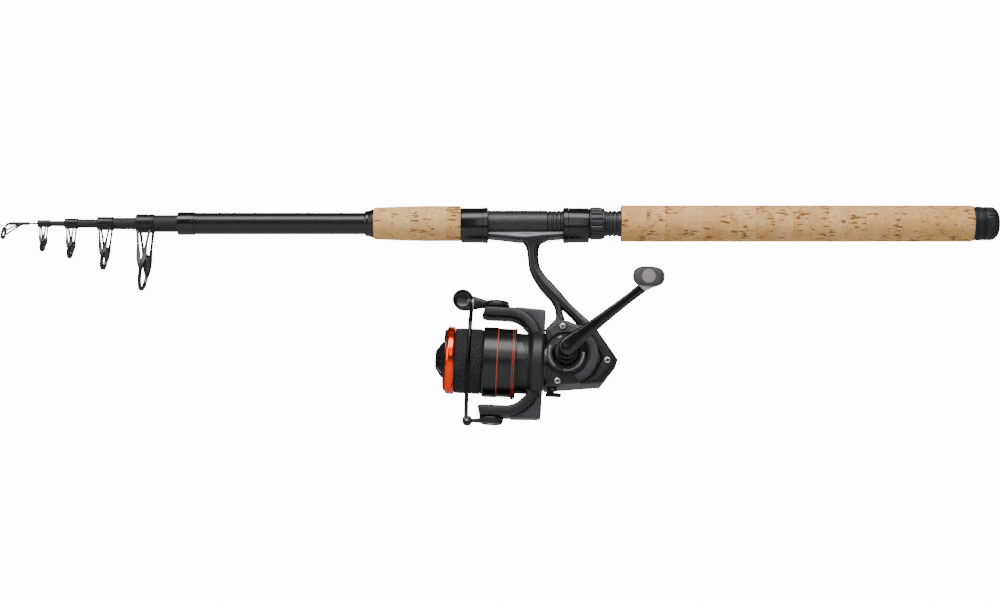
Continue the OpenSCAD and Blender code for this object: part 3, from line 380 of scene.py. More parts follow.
def flatBar(stations, power=2.6, count=24, each=4, y=0.0):
    # a bar along a path in X and Z; stations are (x, z, half thickness, half width)
    rows, rings = smoothed([(s[0], s[1], s[2], s[3]) for s in stations], each), []
    for i, row in enumerate(rows):
        ahead, behind = rows[min(i + 1, len(rows) - 1)], rows[max(i - 1, 0)]
        along = Vector((ahead[0] - behind[0], 0, ahead[1] - behind[1])).normalized()
        across = Vector((along.z, 0, -along.x))
        rings.append(ovalRing((row[0], y, row[1]), across, (0, 1, 0), row[2], row[3], power, count))
    return loft(rings)


def roundWire(points, radius, count=12, each=5, taper=1.0):
    # a round wire along a smooth path in space
    rows, rings = smoothed(points, each), []
    side = None
    for i, row in enumerate(rows):
        along = (rows[min(i + 1, len(rows) - 1)] - rows[max(i - 1, 0)]).normalized()
        side = (side or along.orthogonal()) - along * along.dot(side or along.orthogonal())
        side.normalize()
        size = radius * (1 + (taper - 1) * i / (len(rows) - 1))
        rings.append(ovalRing(row, side, along.cross(side), size, size, 2, count))
    return loft(rings)


def makePiece(name, bm, body, material, nodes=(), sharp=38):
    # turns a shape in millimetres into a finished piece that rides on a body
    bmesh.ops.scale(bm, vec=(0.001, 0.001, 0.001), verts=bm.verts)
    mesh = bpy.data.meshes.new(name)
    bm.to_mesh(mesh)
    bm.free()
    mesh.polygons.foreach_set("use_smooth", [True] * len(mesh.polygons))
    mesh.set_sharp_from_angle(angle=radians(sharp))
    piece = bpy.data.objects.new(name, mesh)
    scene.collection.objects.link(piece)
    mesh.materials.append(material)
    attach(piece, body)
    if nodes:
        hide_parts(*nodes)
    return piece


def turned(name, corners, body, material, nodes=(), place=rodPlace, steps=72):
    return makePiece(name, placed(lathe(corners, steps), place), body, material, nodes)


# rod: butt blank, grips and fittings
buttBlank = {"radius": 7.6, "mouthX": -556.4, "boreR": 7.07}
blankR, glued = buttBlank["radius"], buttBlank["radius"] + 0.03
turned("buttBlank", [(buttBlank["mouthX"], blankR, 0.3), (5.8, blankR), (5.8, buttBlank["boreR"]),
    (-170, buttBlank["boreR"]), (buttBlank["mouthX"], blankR - 1.05, 0.2)], "rod", lacqueredBlank,
    ["butt_blank"])
buttCollar = {"length": 11.4, "radius": 8.1}
x0, x1 = buttBlank["mouthX"], buttBlank["mouthX"] + buttCollar["length"]
turned("buttCollar", [(x0, buttCollar["radius"], 0.25), (x1, buttCollar["radius"], 0.25), (x1, glued),
    (x0, glued)], "rod", sleeveLacquer, ["butt_collar"])
windingCheck = {"x": -425.4, "step": 1.4, "lip": 2.5}
x0, step, lip = windingCheck["x"], blankR + windingCheck["step"], blankR + windingCheck["lip"]
turned("windingCheck", [(x0, glued), (x0, step - 0.3, 0.3), (x0 + 1, step, 0.4), (x0 + 2.4, step, 0.5),
    (x0 + 5.5, lip, 0.4), (x0 + 6.2, lip, 0.2), (x0 + 6.2, glued)], "rod", glossPlastic,
    ["winding_check"])
foreGrip = {"x": -419.2, "length": 61, "frontR": 11.2, "rearR": 12.4}
x0, x1 = foreGrip["x"], foreGrip["x"] + foreGrip["length"]
turned("foreGrip", [(x0, glued), (x0, foreGrip["frontR"] - 0.6, 0.6), (x0 + 1, foreGrip["frontR"], 0.8),
    (x0 + 18.3, foreGrip["rearR"] - 0.5, 20), (x1 - 24.4, foreGrip["rearR"], 20),
    (x1, foreGrip["rearR"] - 0.1, 0.4), (x1, glued)], "rod", corkGrip, ["fore_grip"], steps=96)
rearGrip = {"length": 246, "radius": 12.8}
x0, radius = -rearGrip["length"], rearGrip["radius"]
turned("rearGrip", [(x0, glued), (x0, radius, 0.5), (0, radius, 0.5), (0, glued)], "rod", corkGrip,
    ["rear_grip"], steps=96)
buttFerrule = {"length": 6.8, "radius": 12.0, "groove": 0.5}
x1, radius = buttFerrule["length"], buttFerrule["radius"]
turned("buttFerrule", [(0, glued), (0, radius, 0.2), (1.5, radius, 0.2),
    (1.9, radius - buttFerrule["groove"], 0.2), (2.6, radius - buttFerrule["groove"], 0.2), (3, radius, 0.3),
    (x1, radius, 0.5), (x1, glued)], "rod", mattNylon, ["butt_ferrule"])
buttGasket = {"x": 6.82, "radius": 11.5, "thickness": 0.98}
x0, x1 = buttGasket["x"], buttGasket["x"] + buttGasket["thickness"]
turned("buttGasket", [(x0, 7.25), (x0, buttGasket["radius"], 0.3), (x1, buttGasket["radius"], 0.3),
    (x1, 7.25)], "gasket", buttRubber, ["butt_gasket"])


def flutedTube(sections, count, teeth, bore=None):
    # rings of (x, radius, flute depth) with rounded flutes; bore closes it as a tube
    rings = []
    for x, r, deep in sections:
        ring = []
        for i in range(count):
            a = turn * i / count
            phase = (i * teeth / count) % 1
            dip = deep * max(0, cos(turn * phase)) ** 2 if deep else 0
            ring.append((x, (r - dip) * cos(a), (r - dip) * sin(a)))
        rings.append(ring)
    if bore is None:
        return loft(rings)
    for x in (sections[-1][0], sections[0][0]):
        rings.append([(x, bore * cos(turn * i / count), bore * sin(turn * i / count)) for i in range(count)])
    return loft(rings, close=True)


buttCap = {"ribs": 24, "radius": 11.8, "ribDepth": 0.45}
capR = buttCap["radius"]
cap = flutedTube([(1.8, 6.9, 0), (7.84, 6.9, 0), (7.9, capR - 0.5, 0), (8.3, capR, 0), (10.2, capR, 0),
    (10.5, capR, buttCap["ribDepth"]), (13.6, capR, buttCap["ribDepth"]), (14.8, capR - 0.35, 0.5),
    (16.3, capR - 1.3, 0.7), (17.5, capR - 2.6, 0.7), (18.1, capR - 3.6, 0.2), (18.2, capR - 4.6, 0)], 240,
    buttCap["ribs"])
makePiece("buttCap", cap, "cap", buttRubber, ["butt_cap"])

# reel seat
seat = {"barrelR": 9.1, "hoodR": 10.9, "drop": 2.7, "rim": 0.35, "frontX": -357.7, "endX": -246.02,
    "threadX": -298.1, "grooves": 17, "pitch": 3.0, "threadDepth": 0.6}


def hoodRing(x, radius, drop, count=96):
    return [(x, radius * cos(turn * i / count),
        radius * sin(turn * i / count) - (drop if sin(turn * i / count) < -1e-6 else 0))
        for i in range(count)]


def hoodShell(x0, x1, rimAt):
    # an outer skin round the barrel and the foot, open at both ends, deeper at the mouth for the foot
    hoodR, rim, bore = seat["hoodR"], seat["rim"], seat["barrelR"] + 0.04
    low, high = (x0, x1) if rimAt > 0 else (x1, x0)
    s = 1 if rimAt > 0 else -1
    outer = [(low, hoodR - 0.5), (low + 0.15 * s, hoodR - 0.15), (low + 0.5 * s, hoodR),
        (high - 3.9 * s, hoodR), (high - 3.5 * s, hoodR + rim), (high - 0.5 * s, hoodR + rim),
        (high - 0.1 * s, hoodR + rim - 0.4), (high, hoodR - 0.4)]
    rings = [hoodRing(x, radius, seat["drop"]) for x, radius in outer]
    rings += [hoodRing(high, bore, 2.35), hoodRing(high - 6.4 * s, bore, 2.35),
        hoodRing(high - 6.5 * s, bore, 0.02), hoodRing(low, bore, 0.02)]
    return loft(rings, close=True)


makePiece("fixedHood", hoodShell(-358.1, -339, 1), "rod", glossPlastic, ["fixed_hood"])
makePiece("movableHood", hoodShell(-286.6, -268.5, -1), "seat_hood", glossPlastic,
    ["movable_hood"])
barrelR, low, groove = seat["barrelR"], seat["barrelR"] - seat["threadDepth"], []
for i in range(seat["grooves"]):
    x = seat["threadX"] + seat["pitch"] * i
    groove += [(x + 0.15, barrelR, 0.2), (x + 0.75, low, 0.3), (x + 1.35, low, 0.3), (x + 1.95, barrelR, 0.2)]
turned("seatBarrel", [(seat["frontX"], 7.65), (seat["frontX"], barrelR)] + groove + [(seat["endX"], barrelR),
    (seat["endX"], 7.65)], "rod", seatNylon, ["seat_barrel"])
lockNut = {"collarR": 10.9, "gripR": 11.35, "fluteDepth": 0.9, "flutes": 16, "boreR": 9.16}
collarR, gripR, deep = lockNut["collarR"], lockNut["gripR"], lockNut["fluteDepth"]
nut = flutedTube([(-268.2, collarR - 0.5, 0), (-267.9, collarR - 0.1, 0), (-267.2, collarR, 0),
    (-266.9, gripR, deep), (-259.6, gripR, deep), (-259.2, collarR, 0), (-258.0, collarR - 0.1, 0),
    (-257.6, collarR - 0.5, 0)], 192, lockNut["flutes"], lockNut["boreR"])
makePiece("lockNut", nut, "seat_nut", seatNylon, ["lock_nut"])
print("grips and reel seat made")

# telescopic sections: k = 0 is the thickest
sections = {"tipX": [-585.7, -613, -635.8, -655, -675.5], "tipR": [6.0, 4.1, 3.0, 1.9, 0.6],
    "baseX": [-176.4, -205.7, -233, -255.8, -275], "baseR": [6.554, 4.62, 3.40, 2.35, 1.15],
    "bore": [4.8, 3.4, 2.35, 1.15, 0], "baseBore": [5.55, 3.9, 2.8, 1.75, 0],
    "sleeve": [12.5, 11.2, 9, 8.5, 14.5]}
for k in range(5):
    x0 = sections["tipX"][k] + (2 if k == 4 else 0)
    x1 = sections["baseX"][k]
    bore = [(x1, sections["baseBore"][k]), (x0, sections["bore"][k])] if k < 4 else [(x1, 0), (x0, 0)]
    turned("section%d" % (5 - k), [(x0, sections["tipR"][k], 0.15), (x1, sections["baseR"][k])] + bore,
        "section_%d" % (5 - k), mattBlank, ["tip_blank" if k == 4 else "blank_%d" % (5 - k)],
        steps=48)

guide = {"drop": [35, 25, 19, 15.2], "ringD": [26, 16.4, 12.2, 9.6], "wall": 0.85, "lean": 8}
for k in range(4):
    x0 = sections["tipX"][k]
    x1 = x0 + sections["sleeve"][k]
    number = 5 - k
    bore, mid = sections["tipR"][k] + 0.06, (x0 + x1) / 2
    sleeveR, hold, drop = bore + 0.55, guide["ringD"][k] / 2, -guide["drop"][k]
    shape = placed(lathe([(x0, bore), (x0, sleeveR + 0.08, 0.2), (x0 + 1.3, sleeveR + 0.08, 0.2),
        (x0 + 1.7, sleeveR, 0.2), (x1 - 1.7, sleeveR, 0.2), (x1 - 1.3, sleeveR + 0.08, 0.2),
        (x1, sleeveR + 0.08, 0.2), (x1, bore)], 64))
    size = 0.42 + hold * 0.05
    for side in (-1, 1):
        for end in (-1, 1):
            top = x0 + 1.7 if end < 0 else x1 - 1.7
            path = [(top, side * sleeveR * 0.72, -sleeveR * 0.62, 1.0),
                (top - end * 0.4, side * (sleeveR * 0.9 + hold * 0.08), -sleeveR * 1.1, 0.9),
                ((top * 1.3 + mid * 0.7) / 2, side * (sleeveR * 0.55 + hold * 0.45), (-sleeveR + drop) * 0.4,
                0.85), (mid + end * size * 1.9, side * hold * 0.86, drop + hold * 0.72, 1.5),
                (mid + end * size * 1.1, side * hold * 0.98, drop + hold * 0.3, 1.35),
                (mid + end * size * 0.3, side * hold, drop - hold * 0.05, 0.9)]
            leg = [ovalRing((x, y, z), (1, 0, 0), (0, 1, 0), size * w, size * 0.62, 3, 16) for x, y, z,
                w in smoothed(path, 4)]
            addShape(shape, loft(leg))
    ringPlace = Matrix.Translation((mid, 0, drop)) @ Matrix.Rotation(radians(guide["lean"]), 4, "Y")
    addShape(shape, lathe([(-1.15, hold - guide["wall"]), (-1.15, hold - 0.2, 0.25),
        (-0.5, hold + 0.15, 0.3), (0.5, hold + 0.15, 0.3), (1.15, hold - 0.2, 0.25),
        (1.15, hold - guide["wall"])], 64), ringPlace)
    makePiece("guideFrame%d" % number, shape, "section_%d" % number, guideFrameFinish,
        ["guide_frame_%d" % number])
    outer = hold - guide["wall"]
    turned("guideRing%d" % number, [(-1.3, outer - 0.02, 0.15), (-1.3, outer - 0.55, 0.2),
        (-0.6, outer - 0.85, 0.5), (0.6, outer - 0.85, 0.5), (1.3, outer - 0.55, 0.2),
        (1.3, outer - 0.02, 0.15)], "section_%d" % number, ringCeramic,
        ["guide_ring_%d" % number], ringPlace, 64)

tipEye = {"ringR": 4.5, "lean": 10}
x0 = sections["tipX"][4]
eyePlace = Matrix.Translation((x0 - 3.2, 0, -6.9)) @ Matrix.Rotation(radians(tipEye["lean"]), 4, "Y")
shape = placed(lathe([(x0 + 0.5, 0), (x0 + 0.5, 0.95, 0.4), (x0 + 1.8, 1.12, 0.3), (x0 + 14.5, 1.12, 0.1),
    (x0 + 14.5, 0.67), (x0 + 1.9, 0.67), (x0 + 1.9, 0)], 32))
addShape(shape, roundWire([(x0 + 2.2, 0, 0), (x0 + 0.4, 0, -0.1), (x0 - 1.2, 0, -0.9), (x0 - 2.2, 0, -2.3)],
    0.85, 12, 4))
for side in (-1, 1):
    addShape(shape, roundWire([(x0 + 9.4, side * 0.8, -0.5), (x0 + 8, side * 1.15, -0.95),
        (x0 + 2.5, side * 2.8, -3.9), (x0 - 2.4, side * 4.15, -6.8)], 0.6, 10, 4))
addShape(shape, lathe([(-0.8, 3.9), (-0.8, 4.35, 0.2), (0, 4.6, 0.4), (0.8, 4.35, 0.2), (0.8, 3.9)], 48),
    eyePlace)
makePiece("tipFrame", shape, "section_1", guideFrameFinish, ["tip_frame"])
turned("tipRing", [(-0.8, 3.88, 0.1), (-0.8, 3.35, 0.15), (-0.3, 3.1, 0.25), (0.3, 3.1, 0.25),
    (0.8, 3.35, 0.15), (0.8, 3.88, 0.1)], "section_1", ringCeramic, ["tip_ring"], eyePlace,
    48)
print("sections and guides made")

# reel: foot, stem and housing
housing = {"foot": [(-344.3, 5.1, 5.2, -8.6, -10.2), (-343.6, 5.6, 6.1, -8.7, -10.6),
    (-339, 5.6, 6.4, -8.8, -10.9), (-328, 5.6, 6.7, -9.7, -12.0), (-317, 5.6, 7.0, -10.9, -13.2),
    (-311, 5.6, 7.0, -10.9, -13.2), (-300, 5.6, 6.7, -9.7, -12.0), (-287, 5.6, 6.4, -8.8, -10.9),
    (-282, 5.6, 6.1, -8.7, -10.6), (-281.3, 5.1, 5.2, -8.6, -10.2)], "splitY": -7.98, "farY": 13.0,
    "coverY": -14.5, "edge": 1.6}
bodyCorners = [(-14, -17, 1), (-2, -15.4, 2), (10, -13.9, 2), (24.9, -12, 2.5), (35.8, 3.6, 2.2),
    (16.9, 29.8, 1), (9, 27.4, 1), (0, 30.5, 1), (-7, 30.4, 4), (-14.75, 23.4, 0.7)]
cavityCorners = [(-14.2, 17.4), (-8, 24.4, 4), (8, 25.2, 4), (17, 22.3, 4), (31, 3.4, 3), (22, -10.2, 2),
    (10, -12, 1), (-14, -14)]


def footRing(x, top, half, edge, bottom):
    # hollow top that seats on the barrel, flanks leaning outward to an edge, rounded underside
    grip = [(x, top * (1 - i / 4), -sqrt(9.14 ** 2 - (top * (1 - i / 4)) ** 2)) for i in range(9)]
    left = [(-half, edge), (-half + 0.25, edge - 0.4), (-half + 1.7, bottom + 0.5), (-half + 2.9, bottom)]
    under = left + [(0, bottom - 0.1)] + [(-y, z) for y, z in reversed(left)]
    return grip + [(x, y, z) for y, z in under]


def wallWithHole(corners, y0, y1, holeR, holeZ, fillet=4):
    # a wall with an outline in X and Z and a round hole through it
    outline = roundedOutline(corners, fillet)
    rim = [(p[0], p[1]) for p in outline]
    count = len(rim)
    start = atan2(rim[0][1] - holeZ, rim[0][0])
    area = sum(rim[i - 1][0] * rim[i][1] - rim[i][0] * rim[i - 1][1] for i in range(count))
    way = 1 if area > 0 else -1
    hole = [(holeR * cos(start + way * turn * i / count),
        holeZ + holeR * sin(start + way * turn * i / count)) for i in range(count)]
    rings = [[(x, y, z) for x, z in ring] for ring, y in ((hole, y0), (rim, y0), (rim, y1), (hole, y1))]
    return loft(rings, close=True)


# the foot wears the lighter gunmetal copy: its pale base colour is painted highlight on the flanks
makePiece("reelFoot", placed(loft([footRing(*ring) for ring in housing["foot"]])), "rod", footPaintedHighlight)
stem = {"path": [(-26.7, 91.4, 19, 6.4), (-26.7, 90.0, 14, 6.2), (-26.7, 88.6, 10.4, 6.0),
    (-26.7, 86.9, 7.6, 5.7), (-26.6, 84.8, 5.5, 5.3), (-26.4, 82, 4.4, 4.9), (-26.1, 78.5, 3.9, 4.7),
    (-25.5, 73, 3.75, 4.5), (-24, 67, 3.9, 4.4), (-20, 60.5, 4.2, 4.5), (-14.5, 54.3, 4.7, 4.7),
    (-8.5, 48.5, 4.5, 4.9), (-1.4, 42.2, 3.4, 4.9), (4.8, 36.6, 3.4, 4.9), (10.6, 31.2, 3.9, 5.1),
    (17, 24.8, 4.6, 5.4)], "strut": [(-16, 55.5, 3.2, 4.2), (-10.7, 48.2, 2.9, 4.4), (-7.2, 42, 2.5, 4.4),
    (-5.7, 36.5, 2.6, 4.3), (-5.2, 31.5, 3.6, 4.5), (-7.5, 26, 5.2, 4.8), (-11, 21, 5.5, 5)],
    "squareness": 3.2, "ribShare": 0.42, "ribStand": 0.55}
shape = newShape()
for path in (stem["path"], stem["strut"]):
    addShape(shape, flatBar(path, stem["squareness"], 32), reelPlace)
rib = [(x, z, thick * stem["ribShare"], width + stem["ribStand"]) for x, z, thick,
    width in stem["path"][5:-1]]
addShape(shape, flatBar(rib, 5, 24), reelPlace)
addShape(shape, plate(bodyCorners + cavityCorners, housing["splitY"], 11.4, 0.25, edgeBack=0), reelPlace)
wall = wallWithHole(bodyCorners, 11.2, housing["farY"] + 0.6, 3.9, 6.5)
rim = [e for e in wall.edges if all(v.co.y > 13 and (abs(v.co.x) + abs(v.co.z - 6.5)) > 8 for v in e.verts)]
rim = [e for e in rim if sum(1 for g in e.link_faces if abs(g.normal.y) < 0.5) == 1]
bmesh.ops.bevel(wall, geom=rim, offset=housing["edge"], segments=4, profile=0.5, affect="EDGES", material=-1,
    clamp_overlap=True)
addShape(shape, wall, reelPlace)
addShape(shape, lathe([(-13, 16.4), (-13, 17.85, 0.3), (-20, 17.85, 0.4), (-20, 12.0), (-30.5, 12, 0.3),
    (-30.5, 9.53), (-24.9, 9.53), (-24.9, 6.53), (-18.5, 6.53), (-18.5, 16.4)]), reelPlace)
addShape(shape, lathe([(12.9, 3.9), (12.9, 11.4), (14.2, 11.2, 0.5), (14.8, 10.2, 0.4), (15, 8.6, 0.3),
    (15, 3.9)], 64), drivePlace @ aboutY)
addShape(shape, lathe([(-12.5, 0), (-12.5, 3.6), (-16.6, 3.6, 0.4), (-18.3, 3.0, 0.4), (-18.3, 0)], 32),
         reelAt(-8.5, 0, 0) @ aboutZ)  # boss of the reverse lever
makePiece("reelBody", shape, "rod", bodyPaint, ["reel_body"])


def arcBand(centre0, r0, centre1, r1, a0, a1, count=20):
    # a band between two arcs, as an outline in X and Z; angles in degrees
    step = [radians(a0 + (a1 - a0) * i / count) for i in range(count + 1)]
    outer = [(centre1[0] + r1 * cos(a), centre1[1] + r1 * sin(a)) for a in step]
    inner = [(centre0[0] + r0 * cos(a), centre0[1] + r0 * sin(a)) for a in reversed(step)]
    return outer + inner


def screwHead(radius, height, shaft=0):
    # a pan head with a cross recess, standing on X = 0
    w, n = radius * 0.2, radius * 0.7
    cross = [(n, w), (w, w), (w, n), (-w, n), (-w, w), (-n, w), (-n, -w), (-w, -w), (-w, -n), (w, -n),
        (w, -w), (n, -w)]

    def circle(x, r):
        return [(x, r * cos(turn * (i + 1) / 24), r * sin(turn * (i + 1) / 24)) for i in range(24)]
    return loft([circle(-shaft, radius * 0.45), circle(0, radius * 0.45), circle(0.001, radius),
        circle(height * 0.55, radius), circle(height * 0.9, radius * 0.86),
        [(height, y, z) for y, z in cross], [(height * 0.15 - 0.3, y, z) for y, z in cross]])


cover = {"bezelR": 15.3, "bezelY": -16.0, "bossY": -22.9, "axleR": 3.9, "crescentR": (11.1, 12.6),
    "crescents": [(157, 233), (262, 365), (108, 122)]}
coverCorners = [(-14.2, -16.9, 0.8), (-2, -15.4, 2), (10, -13.9, 1), (19, -7, 4), (25, 4.5, 6),
    (14.2, 24, 5), (-1, 28.4, 4), (-7, 28.8, 3), (-14.5, 22.8, 0.8)]
shape = wallWithHole(coverCorners, housing["coverY"], -8.03, cover["axleR"], 6.5)
rim = [e for e in shape.edges
    if all(abs(v.co.y - housing["coverY"]) < 1e-4 and abs(v.co.x) + abs(v.co.z - 6.5) > 8 for v in e.verts)
    and sum(1 for g in e.link_faces if abs(g.normal.y) < 0.5) == 1]
bmesh.ops.bevel(shape, geom=rim, offset=1.3, segments=4, profile=0.5, affect="EDGES", material=-1,
    clamp_overlap=True)
bmesh.ops.transform(shape, matrix=reelPlace, verts=shape.verts)
for at in ((-3.3, 25.1), (-5.1, -13.0)):
    addShape(shape, lathe([(-13, 0), (-13, 3.3), (-14.6, 3.2, 0.3), (-14.9, 2.7, 0.2), (-14.9, 0)], 40),
        reelAt(at[0], 0, at[1]) @ aboutY)
makePiece("sideCover", shape, "rod", bodyPaint, ["side_cover"])
swoosh = plate(arcBand((0, 6.5), 16.2, (3.4, 5.9), 18.9, -72, 62, 24), -15.9, -14.3, 0.9, 5)
makePiece("coverSwoosh", placed(swoosh, reelPlace), "rod", gunmetalPaint)

bezelR, bezelY, bossY, axleR = cover["bezelR"], cover["bezelY"], cover["bossY"], cover["axleR"]
shape = placed(lathe([(-14, axleR), (-14, bezelR), (bezelY + 0.5, bezelR, 0.3), (bezelY, bezelR - 0.5, 0.25),
    (bezelY + 0.3, bezelR - 1, 0.25), (-14.9, bezelR - 1.2, 0.3), (-14.9, 9.6, 0.6), (-16.2, 8.8, 0.5),
    (bossY + 1.4, 7.9, 0.3), (bossY, 7.7, 0.4), (bossY, axleR)], 96), drivePlace @ aboutY)
makePiece("coverBezel", shape, "rod", glossPlastic)
shape = newShape()
r0, r1 = cover["crescentR"]
for a0, a1 in cover["crescents"]:
    addShape(shape, plate(arcBand((0, 0), r0, (0, 0), r1, a0, a1, 16), -15.6, -14.6, 0.4, 3), drivePlace)
makePiece("coverCrescents", shape, "rod", crescentPaint)

guardCorners = [(10, -13.9, 0.5), (24.9, -12, 2.5), (35.8, 3.6, 2.2), (17.6, 28.2, 1), (15, 24.6, 1),
    (25.6, 4.5, 6), (19.6, -7.2, 4)]
shape = placed(plate(guardCorners, -13.7, -8.03, 0.6, 3), reelPlace)
inset = [(14.5, -12.3, 0.4), (24.1, -10.6, 1.8), (33.4, 3.6, 1.6), (19, 24.2, 0.6), (17.9, 22.9, 0.6),
    (27.2, 4.5, 6), (21, -8.2, 4)]
addShape(shape, plate(inset, -13.95, -13.0, 0.2, 2), reelPlace)
makePiece("rearGuard", shape, "rod", mattNylon, ["rear_guard"])

coverScrews = {"radius": 2.1, "height": 0.8, "shank": 1.5, "places": [(-3.3, 25.1, -14.75, 25),
    (28.3, 3.3, -13.85, 70), (-5.1, -13.0, -14.75, 10)]}
shape = newShape()
for x, z, y, spin in coverScrews["places"]:
    addShape(shape, screwHead(coverScrews["radius"], coverScrews["height"], coverScrews["shank"]),
        reelAt(x, y, z) @ Matrix.Rotation(radians(spin), 4, "Y") @ Matrix.Rotation(radians(-90), 4, "Z"))
makePiece("coverScrews", shape, "rod", screwSteel, ["cover_screws"])

lever = {"halfWidth": 2.3, "pinR": 1.5, "pinX": -8.5}
shape = placed(plate([(-12.3, -18.9, 0.7), (-12.9, -21.9, 1.0), (-2, -21.9, 0.9), (-1.6, -19.6, 0.8),
    (-6, -19.2, 0.5)], -lever["halfWidth"], lever["halfWidth"], 0.45, 2), reelPlace)
addShape(shape, lathe([(-14, 0), (-14, lever["pinR"]), (-20, lever["pinR"]), (-20, 0)], 24),
    reelAt(lever["pinX"], 0, 0) @ aboutZ)
makePiece("reverseLever", shape, "reverse_switch", mattNylon, ["reverse_lever"])
print("housing made")

# crank and knob
crank = {"reach": 64.6, "angle": 39.5, "axleR": 3.54, "knobAxleR": 1.96, "knobCapR": 4.6}
rise = radians(crank["angle"])
outward, sideways = Vector((cos(rise), 0, sin(rise))), Vector((-sin(rise), 0, cos(rise)))
rings = []
for s, y, half, thick in smoothed([(-5.9, -42.9, 1.0, 1.2), (-5.2, -42.9, 3.2, 2.1), (-3, -42.9, 5.2, 2.6),
        (0, -42.95, 6.0, 2.8), (5, -43.7, 5.7, 2.8), (14, -45.6, 4.7, 2.7), (30, -49, 3.7, 2.6),
        (50, -53, 3.1, 2.5), (61, -55.3, 3.3, 2.5), (65.5, -55.6, 3.1, 2.4), (67.6, -55.7, 1.9, 1.9),
        (68, -55.7, 0.8, 1.0)], 4):
    rings.append(ovalRing(outward * s + Vector((0, y, 0)), sideways, (0, 1, 0), half, thick, 2.8, 28))
shape = placed(loft(rings), drivePlace)
addShape(shape, lathe([(-24, crank["axleR"]), (-24, 5.9, 0.5), (-25.5, 5.9, 0.5), (-26.2, 5.3, 0.4),
    (-40, 5.5, 2), (-42, 5.7), (-42, crank["axleR"])], 48), drivePlace @ aboutY)
makePiece("crankArm", shape, "crank", glossPlastic, ["crank_arm"])
knobPlace = drivePlace @ Matrix.Translation(outward * crank["reach"])


def ovalSleeve(stations, bore, count=40):
    # an oval solid along Y with a round bore, from (y, half width, half height, power)
    rings = [ovalRing((0, y, 0), (1, 0, 0), (0, 0, 1), w, h, p, count) for y, w, h, p in stations]
    rings += [ovalRing((0, y, 0), (1, 0, 0), (0, 0, 1), bore, bore, 2, count) for y in (stations[-1][0],
        stations[0][0])]
    return loft(rings, close=True)


knob = ovalSleeve([(-58.5, 3.8, 3.8, 2), (-58.9, 4.4, 4.3, 2), (-62, 4.8, 4.6, 2), (-67, 5.9, 5.1, 2.1),
    (-72, 7.6, 5.7, 2.2), (-77, 9.3, 6.2, 2.4), (-80.5, 10.1, 6.5, 2.6), (-81.6, 10.2, 6.55, 2.7)],
    crank["knobAxleR"])
# the knob's side takes the lighter copy of the knob rubber: painted light, the same rubber as the dark grey
# face
makePiece("knobGrip", placed(knob, knobPlace), "knob", knobRubberLitCopy, ["crank_knob"])
face = ovalSleeve([(-81.62, 10.25, 6.6, 2.7), (-81.9, 10.4, 6.75, 2.7), (-82.8, 10.4, 6.75, 2.7),
    (-83.35, 10.1, 6.45, 2.7), (-83.35, 9.5, 5.9, 2.7), (-83.1, 9.3, 5.7, 2.7), (-83.35, 9.0, 5.4, 2.7),
    (-83.45, 6.5, 4.75, 2.3)], 4.65)
makePiece("knobFace", placed(face, knobPlace), "knob", knobGrey)
capR = crank["knobCapR"]
turned("knobCap", [(-83.7, 0), (-83.75, capR - 0.9, 0.1), (-83.6, capR - 0.65, 0.1),
    (-83.75, capR - 0.4, 0.1), (-83.6, capR, 0.2), (-82.3, capR), (-82.3, 0)], "knob", capGrey,
    ["knob_cap"], knobPlace @ aboutY, 48)
cap = flutedTube([(15.4, 7.0, 0), (15.7, 7.5, 0), (16.2, 7.7, 0.5), (18.6, 7.6, 0.5), (19.4, 7.2, 0.3),
    (20.3, 6.2, 0), (21, 4.5, 0)], 160, 16)
makePiece("handleCap", placed(cap, drivePlace @ aboutY), "crank", glossPlastic, ["handle_cap"])
print("crank made")

# rotor and bail
rotor = {"frontX": -46.0, "rearX": -15.0, "drumR": 20.85, "ringR": 24.3, "boreR": 3.03, "wall": 2.0,
    "roomR": 25.6, "roomEnd": -26.8, "roomRamp": 2.4, "pivotX": -49.0, "hubZ": 38.6}
front, rear, drumR, boreR = rotor["frontX"], rotor["rearX"], rotor["drumR"], rotor["boreR"]
shape = placed(lathe([(front, boreR), (front, drumR, 1.6), (-26, drumR, 2.0),
    (-22.8, rotor["ringR"] - 0.1, 1.6), (-17, rotor["ringR"], 1.4), (rear, 22.8, 0.8),
    (rear, drumR - rotor["wall"]), (front + 3, drumR - rotor["wall"]), (front + 3, 6.5), (-31.1, 6.5),
    (-31.1, boreR)], 96), reelPlace)
for half in (0, 180):
    arm = flatBar([(-58.0, 34.5, 3.0, 9.0), (-57.3, 34.4, 3.6, 9.7), (-54, 34.3, 4.0, 10),
        (-44, 34.3, 4.0, 10), (-37, 34.0, 4.0, 10.4), (-30.5, 31.6, 4.1, 11), (-25, 26.8, 4.2, 11.6),
        (-21.2, 20.5, 4.2, 12), (-19.2, 14.5, 3.8, 12), (-19, 11.5, 3.6, 12)], 4.5, 40, 6)
    for vert in arm.verts:  # the arm is hollowed inside, so the skirt and its clip pass on the back stroke
        past = max(0.0, vert.co.x - rotor["roomEnd"]) / rotor["roomRamp"]
        reach = Vector((0, vert.co.y, vert.co.z))
        if past < 1 and reach.length < rotor["roomR"] - 3 * past:
            reach *= (rotor["roomR"] - 3 * past) / reach.length
            vert.co.y, vert.co.z = reach.y, reach.z
    addShape(shape, arm, reelTurned(half))
makePiece("rotorCup", shape, "rotor_unit", rotorPaint, ["rotor"])
panel = []
for angle, x in ((42, -33.2), (40, -31.4), (33, -29.6), (16, -27.8), (2, -26.3), (-1, -26.6), (-3, -30)):
    side, up = cos(radians(angle)), sin(radians(angle))
    panel.append([(u, -r * side, r * up) for u, r in ((-38, 20.2), (-38, 21.3), (x - 0.4, 21.3), (x, 20.9),
        (x, 20.2))])
makePiece("drumPanel", placed(loft(panel), reelPlace), "rotor_unit", spoolPaint)
shape = newShape()
